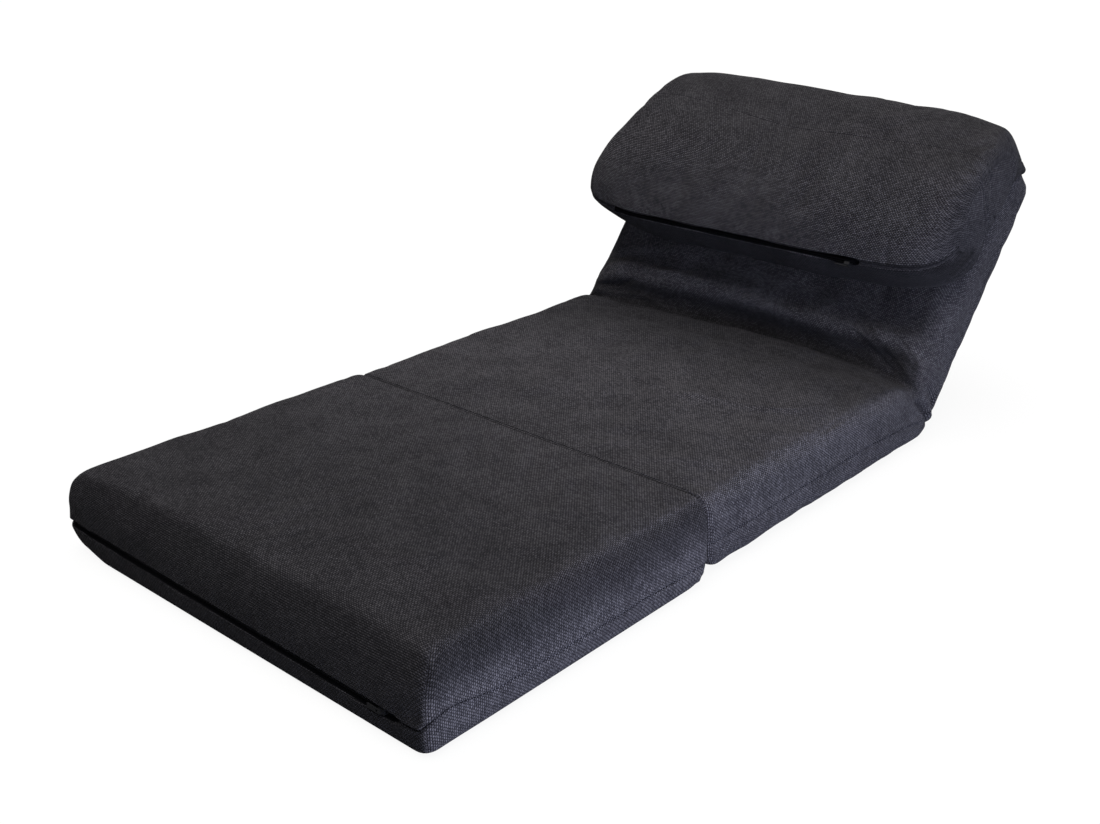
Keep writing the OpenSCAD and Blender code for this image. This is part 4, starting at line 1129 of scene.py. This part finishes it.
def foam(name, body, node, low, high, front, rear, place, d):
    # block with edges rounded in by quarter circles; front and rear give its ends at each height
    r, rise = d["radius"], np.array(d["levels"])
    between = spread([low + 2 * r, high - 2 * r], d["heights"])
    z = np.concatenate([low + rise, between, (high - rise)[::-1]])[:, None]
    tuck = roundIn((low + r - z) / r, r) + roundIn((z - high + r) / r, r)
    across, along = spread(*d["columns"]), spread(*d["rows"])
    full = np.ones(2 * (len(across) + len(along) - 2))
    x, y = outlineRings((d["half"] - tuck) * full, (front(z) + tuck) * full, (rear(z) - tuck) * full,
                        d["corner"], d["corner"], across, along)
    rings = np.stack([x, y, z * full], -1)
    points, quads, cloth = closeBox(rings, across, along, boxCloth(rings))
    obj = softPiece(name, place(points), quads, cloth, foamCells, body, "foam", 0.9)
    declare(obj, node)


def level(value):
    # the same value at every height
    return lambda z: value + 0 * z


def slantedEnd(z):
    # lower end of the backrest's front foam: square at first, then slanting away from the fold
    return 0.076 + np.maximum(0, z - 0.024) * 0.9


for row in (
        ("footFoam", "foot", "foot_foam", 0.0112, 0.1068, level(-0.4698), level(-0.0162), atSeam),
        ("seatTopFoam", "seat", "seat_top_foam", 0.0566, 0.1038, level(0.0162), level(0.519), atSeam),
        ("seatBottomFoam", "seat", "seat_bottom_foam", 0.0112, 0.0314, level(0.0162), level(0.5172), atSeam),
        ("backFrontFoam", "back", "back_front_foam", 0.0126, 0.0568, slantedEnd, level(0.4118), fromBack),
        ("backRearFoam", "back", "back_rear_foam", -0.0318, -0.0126, level(0.052), level(0.4118), fromBack)):
    foam(*row, foamBlock)

core = {"half": 0.3018, "perKey": 16, "around": 56, "run": 0.012, "ends": (0.8, 0.2),
        "endColumns": (0.965, 0.985, 0.996, 1), "evenColumns": (0.94, 40)}


def buildFilling(d, cover):
    # the pillow's core: its own section, run across and rounded at both ends
    lo, fa = cover["low"], cover["face"]
    keys = np.array([(lo + 0.065, fa + 0.116), (lo + 0.030, fa + 0.092), (lo + 0.030, fa + 0.040),
                     (lo + 0.050, fa + 0.021), (lo + 0.140, fa + 0.020), (lo + 0.236, fa + 0.021),
                     (lo + 0.240, fa + 0.050), (lo + 0.224, fa + 0.080), (lo + 0.122, fa + 0.118)])
    fine = closedCurve(keys, d["perKey"])
    ring = resample(np.concatenate([fine, fine[:1]]), np.arange(d["around"]) / d["around"])
    mid = ring.mean(0)
    u = endToEnd(d)
    past = np.maximum(0, np.abs(u) - 0.94) / 0.06
    close = d["ends"][0] + d["ends"][1] * np.sqrt(np.maximum(0, 1 - past ** 2))
    at = mid + (ring - mid)[None] * close[:, None, None]
    rings = np.concatenate([at, (u * d["half"])[:, None, None] + 0 * at[..., :1]], -1)
    across = along = np.linspace(0, 1, d["around"] // 4 + 1)
    run = np.arange(d["around"]) * d["run"] + 0 * rings[..., 2]
    wall = np.stack([np.stack([rings[..., 2], run], -1)] * 4)
    points, quads, cloth = closeBox(rings, across, along, wall)
    placed = backPoint(points[:, 0:1], points[:, 1:2], points[:, 2:3])
    obj = softPiece("pillowFilling", placed, quads, cloth, fibreFill, "pillow", "filling", 0.7)
    declare(obj, "pillow_filling")


buildFilling(core, pillow)
print("foam and filling done")

# cloths under the sections

baseSheet = {"thick": 0.0009, "rise": 0.0007, "hemAt": 0.008, "hemWide": 0.003, "hemHigh": 0.0002,
             "columns": 70, "rows": 60}


def thicken(obj, thick):
    # half the thickness on either side of the mesh
    step = obj.modifiers.new("thickness", "SOLIDIFY")
    step.thickness, step.offset = thick, 0


def baseCloth(name, body, node, d):
    # grid with a rounded hem line near its edge, hanging 0.2 mm above what it lies on
    low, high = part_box(node)
    x, y = np.meshgrid(np.linspace(low[0], high[0], d["columns"]), np.linspace(low[1], high[1], d["rows"]))
    edge = np.minimum(np.minimum(x - low[0], high[0] - x), np.minimum(y - low[1], high[1] - y))
    z = d["rise"] + d["hemHigh"] * np.exp(-((edge - d["hemAt"]) / d["hemWide"]) ** 2)
    quads = gridCells(np.arange(x.size).reshape(x.shape)).reshape(-1, 4)[:, ::-1]
    points = np.stack([x, y, z], -1).reshape(-1, 3)
    obj = newMesh(name, points, quads, points[quads][..., :2])
    thicken(obj, d["thick"])
    obj.data.materials.append(gripCloth)
    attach(obj, body)
    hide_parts(node)


baseCloth("footBaseCloth", "foot", "foot_base_cloth", baseSheet)
baseCloth("seatBaseCloth", "seat", "seat_base_cloth", baseSheet)

# swept pieces


def sweep(name, path, section, up):
    # a section carried along a path and closed off at both ends; up fixes its second axis
    ahead = np.roll(path, -1, 0) - np.roll(path, 1, 0)
    ahead[0], ahead[-1] = path[1] - path[0], path[-1] - path[-2]
    ahead /= np.linalg.norm(ahead, axis=1, keepdims=True)
    up = np.broadcast_to(np.array(up, float), path.shape)
    side = np.cross(ahead, up)
    side /= np.linalg.norm(side, axis=1, keepdims=True)
    up = np.cross(side, ahead)
    points = path[:, None] + section[None, :, 0:1] * side[:, None] + section[None, :, 1:2] * up[:, None]
    index = np.arange(points.shape[0] * points.shape[1]).reshape(points.shape[:2])
    now, nxt = index[:-1], index[1:]
    quads = np.stack([now, nxt, np.roll(nxt, -1, 1), np.roll(now, -1, 1)], -1).reshape(-1, 4).tolist()
    quads += [index[0].tolist(), index[-1, ::-1].tolist()]
    run = np.concatenate([[0], np.cumsum(np.linalg.norm(np.diff(path, axis=0), axis=1))])
    none = 0 * points[..., 0]
    flat = np.stack([run[:, None] + none, 0.001 * np.arange(len(section))[None] + none], -1)
    return newMesh(name, points.reshape(-1, 3), quads, flat.reshape(-1, 2)[np.concatenate(quads)])


def roundSection(r, sides):
    # points on a circle: r · (cos, sin)
    angle = np.arange(sides) * 2 * np.pi / sides
    return r * np.stack([np.cos(angle), np.sin(angle)], -1)


def stripSection(width, thick):
    # flat strip with bevelled edges
    x = np.array([-0.5, -0.48, 0.48, 0.5, 0.5, 0.48, -0.48, -0.5]) * width
    y = np.array([-0.3, -0.5, -0.5, -0.3, 0.3, 0.5, 0.5, 0.3]) * thick
    return np.stack([x, y], -1)


def turned(place, way):
    # what the map place makes of a direction
    return (place(np.array([way])) - place(np.zeros((1, 3))))[0]


def hand(obj, material, body, node):
    # material, body and replaced node of a piece that isn't padded
    obj.data.materials.append(material)
    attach(obj, body)
    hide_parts(node)


# rolled seam between foot and seat, with the slight waves of its stitches
seamRoll = {"radius": 0.00085, "sides": 10, "columns": 220, "margin": 0.012, "under": 0.0002,
            "dip": 0.004, "dipFrom": 0.305, "dipOver": 0.020, "stitch": 0.0065, "wave": 0.00012}
low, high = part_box("cross_seam")
x = np.linspace(low[0] + seamRoll["margin"], high[0] - seamRoll["margin"], seamRoll["columns"])
mid = (np.array(low) + np.array(high)) / 2
dip = seamRoll["dip"] * smooth((np.abs(x - mid[0]) - seamRoll["dipFrom"]) / seamRoll["dipOver"])
wave = seamRoll["wave"] * np.sin(2 * np.pi * x / seamRoll["stitch"])
path = np.stack([x, mid[1] + 0 * x, mid[2] - seamRoll["under"] - dip + wave], -1)
crossSeam = sweep("crossSeam", path, roundSection(seamRoll["radius"], seamRoll["sides"]), (0, 0, 1))
hand(crossSeam, coverFabric, "foot", "cross_seam")

# flap that joins the pillow to the backrest's rear top edge
flap = {"axis": (0.446, -0.033), "half": 0.292, "columns": 90, "rows": 9, "towards": (0.71, -0.70),
        "inset": 0.006, "ease": 9, "bow": 0.0012, "waves": 0.0004, "thick": 0.0011, "wide": 0.03}


def pillowCorner(obj, d):
    # the rear corner of the finished pillow at each column: its furthest point in the direction
    # towards, less the inset, and averaged over a few columns
    at = getPoints(obj.data) - pivot
    ah = np.stack([at @ upBack, at @ outBack], -1)
    reach = ah @ np.array(d["towards"])
    column = np.round((at[:, 0] + d["half"]) / (2 * d["half"]) * (d["columns"] - 1)).astype(int)
    order = np.argsort(reach, kind="stable")
    order = order[(column[order] >= 0) & (column[order] < d["columns"])]
    furthest = np.zeros(d["columns"], int)
    furthest[column[order]] = order
    edge = ah[furthest] - d["inset"] * np.array(d["towards"])
    padded = np.pad(edge, ((d["ease"] // 2, d["ease"] // 2), (0, 0)), mode="edge")
    share = np.ones(d["ease"]) / d["ease"]
    return np.stack([np.convolve(padded[:, k], share, mode="valid") for k in (0, 1)], -1)


def buildFlap(obj, d):
    # a strip from the axis to the pillow's corner: axis + s · (corner - axis), bowed by half a sine
    corner = pillowCorner(obj, d)
    s, t = np.meshgrid(np.linspace(0, 1, d["rows"]), np.linspace(-d["half"], d["half"], d["columns"]))
    bow = d["bow"] * np.sin(np.pi * s) + d["waves"] * waves(8, 0.03, 0.09, 41)(t, s * d["wide"])
    up = d["axis"][0] + s * (corner[:, 0:1] - d["axis"][0]) + bow * 0.6
    out = d["axis"][1] + s * (corner[:, 1:2] - d["axis"][1]) - bow * 0.6
    points = backPoint(up[..., None], out[..., None], t[..., None]).reshape(-1, 3)
    quads = gridCells(np.arange(s.size).reshape(s.shape)).reshape(-1, 4)
    flat = np.stack([t, s * d["wide"]], -1).reshape(-1, 2)
    made = newMesh("pillowFlap", points, quads, flat[quads])
    thicken(made, d["thick"])
    hand(made, coverFabric, "pillow", "pillow_flap")


buildFlap(pillowCover, flap)
print("cloths, seam and flap done")

# webbing straps round the side tubes of both frames

webbing = {"width": 0.050, "thick": 0.0018, "tube": 0.0123, "half": 0.300, "steps": 20, "inside": 0.0010,
           "columns": 24, "margin": 0.01}


def strap(y, place, d):
    # over from tube to tube, and half a turn round the outside of each tube
    turn = np.linspace(np.pi / 2, -np.pi / 2, d["steps"])
    r = d["tube"] - d["inside"]
    right = np.stack([d["half"] + r * np.cos(turn), r * np.sin(turn)], -1)
    left = right[::-1] * np.array([-1, 1])
    reach, count = d["half"] - d["margin"], d["columns"]
    across = np.stack([np.linspace(-reach, reach, count), np.full(count, r)], -1)
    flat = np.concatenate([left, across, right])
    path = place(np.stack([flat[:, 0], y + 0 * flat[:, 0], flat[:, 1]], -1))
    return sweep("strap", path, stripSection(d["width"], d["thick"])[:, ::-1], turned(place, (0, 1.0, 0)))


def joined(objects, name):
    # one object of several meshes
    bpy.ops.object.select_all(action="DESELECT")
    for obj in objects:
        obj.select_set(True)
    bpy.context.view_layer.objects.active = objects[0]
    bpy.ops.object.join()
    objects[0].name = objects[0].data.name = name
    return objects[0]


for name, places, place, body, node in (
        ("seatWebbing", (-0.450, -0.345, -0.275, -0.185, -0.115), atPivot, "seat", "seat_webbing"),
        ("backWebbing", (0.172, 0.229, 0.310), fromBack, "back", "back_webbing")):
    straps = joined([strap(y, place, webbing) for y in places], name)
    hand(straps, elasticWeb, body, node)

# zips: woven tapes, and a coil of one nylon wire

zipLine = {"tapeWidth": 0.0048, "tapeThick": 0.0007, "tapeAt": 0.0036, "steps": 120, "coil": 0.0014,
           "wire": 0.00032, "pitch": 0.0015, "perTurn": 8, "rise": 0.002, "spare": 0.006, "sinkOver": 0.035}
footZip = {"length": 0.624, "turn": math.radians(0.9), "at": (-0.019, seamY - 0.498, 0.040), "sink": 0.0}
pillowZip = {"length": 0.482, "at": (-0.026, 0.161, 0.175), "sink": 0.004}


def atFootZip(points):
    # the foot's zip falls a little to the right: turned about Y
    x, out, z = points.T
    c, s = math.cos(footZip["turn"]), math.sin(footZip["turn"])
    return np.array(footZip["at"]) + np.stack([x * c + z * s, -out, z * c - x * s], -1)


def atPillowZip(points):
    # the pillow's zip faces down the backrest: its out is against the backrest's up
    x, out, z = points.T
    right, up, off = pillowZip["at"]
    return fromBack(np.stack([x + right, up - out, z + off], -1))


def fastener(name, body, node, zipped, place, d):
    # place maps (along, out, across) to the frame; out is towards the outside of the fabric;
    # the closed end, where no slider runs, sinks smoothly into the seam
    length = zipped["length"]

    def sunk(along):
        # minus sink · smooth share of the way to the closed end
        return -zipped["sink"] * smooth((-along - length / 2 + d["sinkOver"]) / d["sinkOver"])

    x = np.linspace(-length / 2, length / 2, d["steps"])
    section = stripSection(d["tapeWidth"], d["tapeThick"])
    tapes = [sweep("tape", place(np.stack([x, sunk(x), side * d["tapeAt"] + 0 * x], -1)), section,
                   turned(place, (0, 1.0, 0))) for side in (-1, 1)]
    hand(joined(tapes, name + "Tapes"), zipTapeCloth, body, node + "_tapes")
    turns = (length - d["spare"]) / d["pitch"]
    t = np.arange(int(turns * d["perTurn"])) / d["perTurn"]
    r = d["coil"] - d["wire"]
    run = (t - turns / 2) * d["pitch"]
    helix = np.stack([run, d["rise"] + sunk(run) + r * np.cos(2 * np.pi * t), r * np.sin(2 * np.pi * t)], -1)
    wire = sweep(name + "Coil", place(helix), roundSection(d["wire"], 4), turned(place, (1.0, 0, 0)))
    hand(wire, zipNylon, body, node + "_coil")


fastener("footZip", "foot", "foot_zip", footZip, atFootZip, zipLine)
fastener("pillowZip", "pillow", "pillow_zip", pillowZip, atPillowZip, zipLine)
print("webbing and zips done")

# finishes of the pieces that stay as the frame has them
finishes = {
    paintedTube: ("seat_frame_hoop", "seat_cross_tubes", "back_frame_hoop", "back_cross_tubes"),
    zincPlate: ("seat_arms_left", "seat_arms_right", "toothed_arm_left", "toothed_arm_right", "pivot_rivets",
                "seat_arm_rivets", "back_arm_rivets", "pawl_spring_left", "pawl_spring_right"),
    ratchetSteel: ("pawl_left", "pawl_right", "pawl_pins"),
    zipEnamel: ("foot_zip_slider", "foot_zip_pull", "pillow_zip_slider", "pillow_zip_pull"),
}
for material, names in finishes.items():
    for name in names:
        nodes[name].data.materials.clear()
        nodes[name].data.materials.append(material)

# floor, light and camera

studio = {"floor": (0.16, 0.16, 0.16, 1), "floorHalf": 9, "floorRough": 0.9, "plainFloor": 0.55, "glow": 1.66,
          "ambient": 0.11,
          "top": {"from": (0.03, -0.13, 0.99), "strength": 3.2, "soft": 50, "colour": (1.0, 0.985, 0.96)},
          "right": {"place": (1.45, -0.30, 0.10), "towards": (0.34, -0.05, 0.09), "size": (1.7, 0.30),
                    "strength": 32, "colour": (0.72, 0.78, 1.0)}}

# the camera sees the floor as nearly plain white, while its light on the object is that of grey paint
floorMaterial, tree, shader = newMaterial("floorPaint")
shader.inputs["Base Color"].default_value = studio["floor"]
shader.inputs["Roughness"].default_value = studio["floorRough"]
white = addNode(tree, "ShaderNodeEmission", Strength=studio["glow"])
seen = addNode(tree, "ShaderNodeLightPath")
share = mathNode(tree, "MULTIPLY", seen.outputs["Is Camera Ray"], studio["plainFloor"])
mix = addNode(tree, "ShaderNodeMixShader")
for place, source in enumerate((share, shader.outputs[0], white.outputs[0])):
    link(tree, source, mix.inputs[place])
link(tree, mix.outputs[0], tree.nodes["Material Output"].inputs["Surface"])
far = studio["floorHalf"]
floor = newMesh("floor", np.array([[-far, -far, 0], [far, -far, 0], [far, far, 0], [-far, far, 0]], float),
                [[0, 1, 2, 3]])
floor.data.materials.append(floorMaterial)


def lamp(name, kind, look, facing):
    # a lamp whose light comes from the direction facing
    data = bpy.data.lights.new(name, kind)
    data.color, data.energy = look["colour"], look["strength"]
    obj = bpy.data.objects.new(name, data)
    scene.collection.objects.link(obj)
    obj.rotation_euler = Vector(facing).to_track_quat("Z", "Y").to_euler()
    return obj


lamp("topLight", "SUN", studio["top"], studio["top"]["from"]).data.angle = math.radians(studio["top"]["soft"])
# a long low panel beside the object, as the lit paper there
panel = lamp("rightLight", "AREA", studio["right"],
             np.array(studio["right"]["place"]) - np.array(studio["right"]["towards"]))
panel.data.shape = "RECTANGLE"
panel.data.size, panel.data.size_y = studio["right"]["size"]
panel.location, panel.visible_camera = studio["right"]["place"], False
# white for the camera and in mirrors, and only a little light from all round
world = bpy.data.worlds.new("studio")
scene.world = world
world.use_nodes = True
tree = world.node_tree
seen = addNode(tree, "ShaderNodeLightPath")
direct = mathNode(tree, "ADD", seen.outputs["Is Camera Ray"], seen.outputs["Is Glossy Ray"])
direct = mathNode(tree, "ADD", direct, seen.outputs["Is Transmission Ray"], clamp=True)
strength = mathNode(tree, "MULTIPLY_ADD", direct, 1 - studio["ambient"], studio["ambient"])
tree.nodes["Background"].inputs["Color"].default_value = (1, 1, 1, 1)
link(tree, strength, tree.nodes["Background"].inputs["Strength"])

view = {"place": (1.2071, -1.4720, 0.8832), "turn": (67.1, 0, 41.7), "lens": 44.06}
cameraData = bpy.data.cameras.new("photoCamera")
cameraData.sensor_width, cameraData.lens = 36, view["lens"]
camera = bpy.data.objects.new("photoCamera", cameraData)
camera.location = view["place"]
camera.rotation_euler = tuple(math.radians(angle) for angle in view["turn"])
scene.collection.objects.link(camera)
scene.camera = camera
print("studio done")
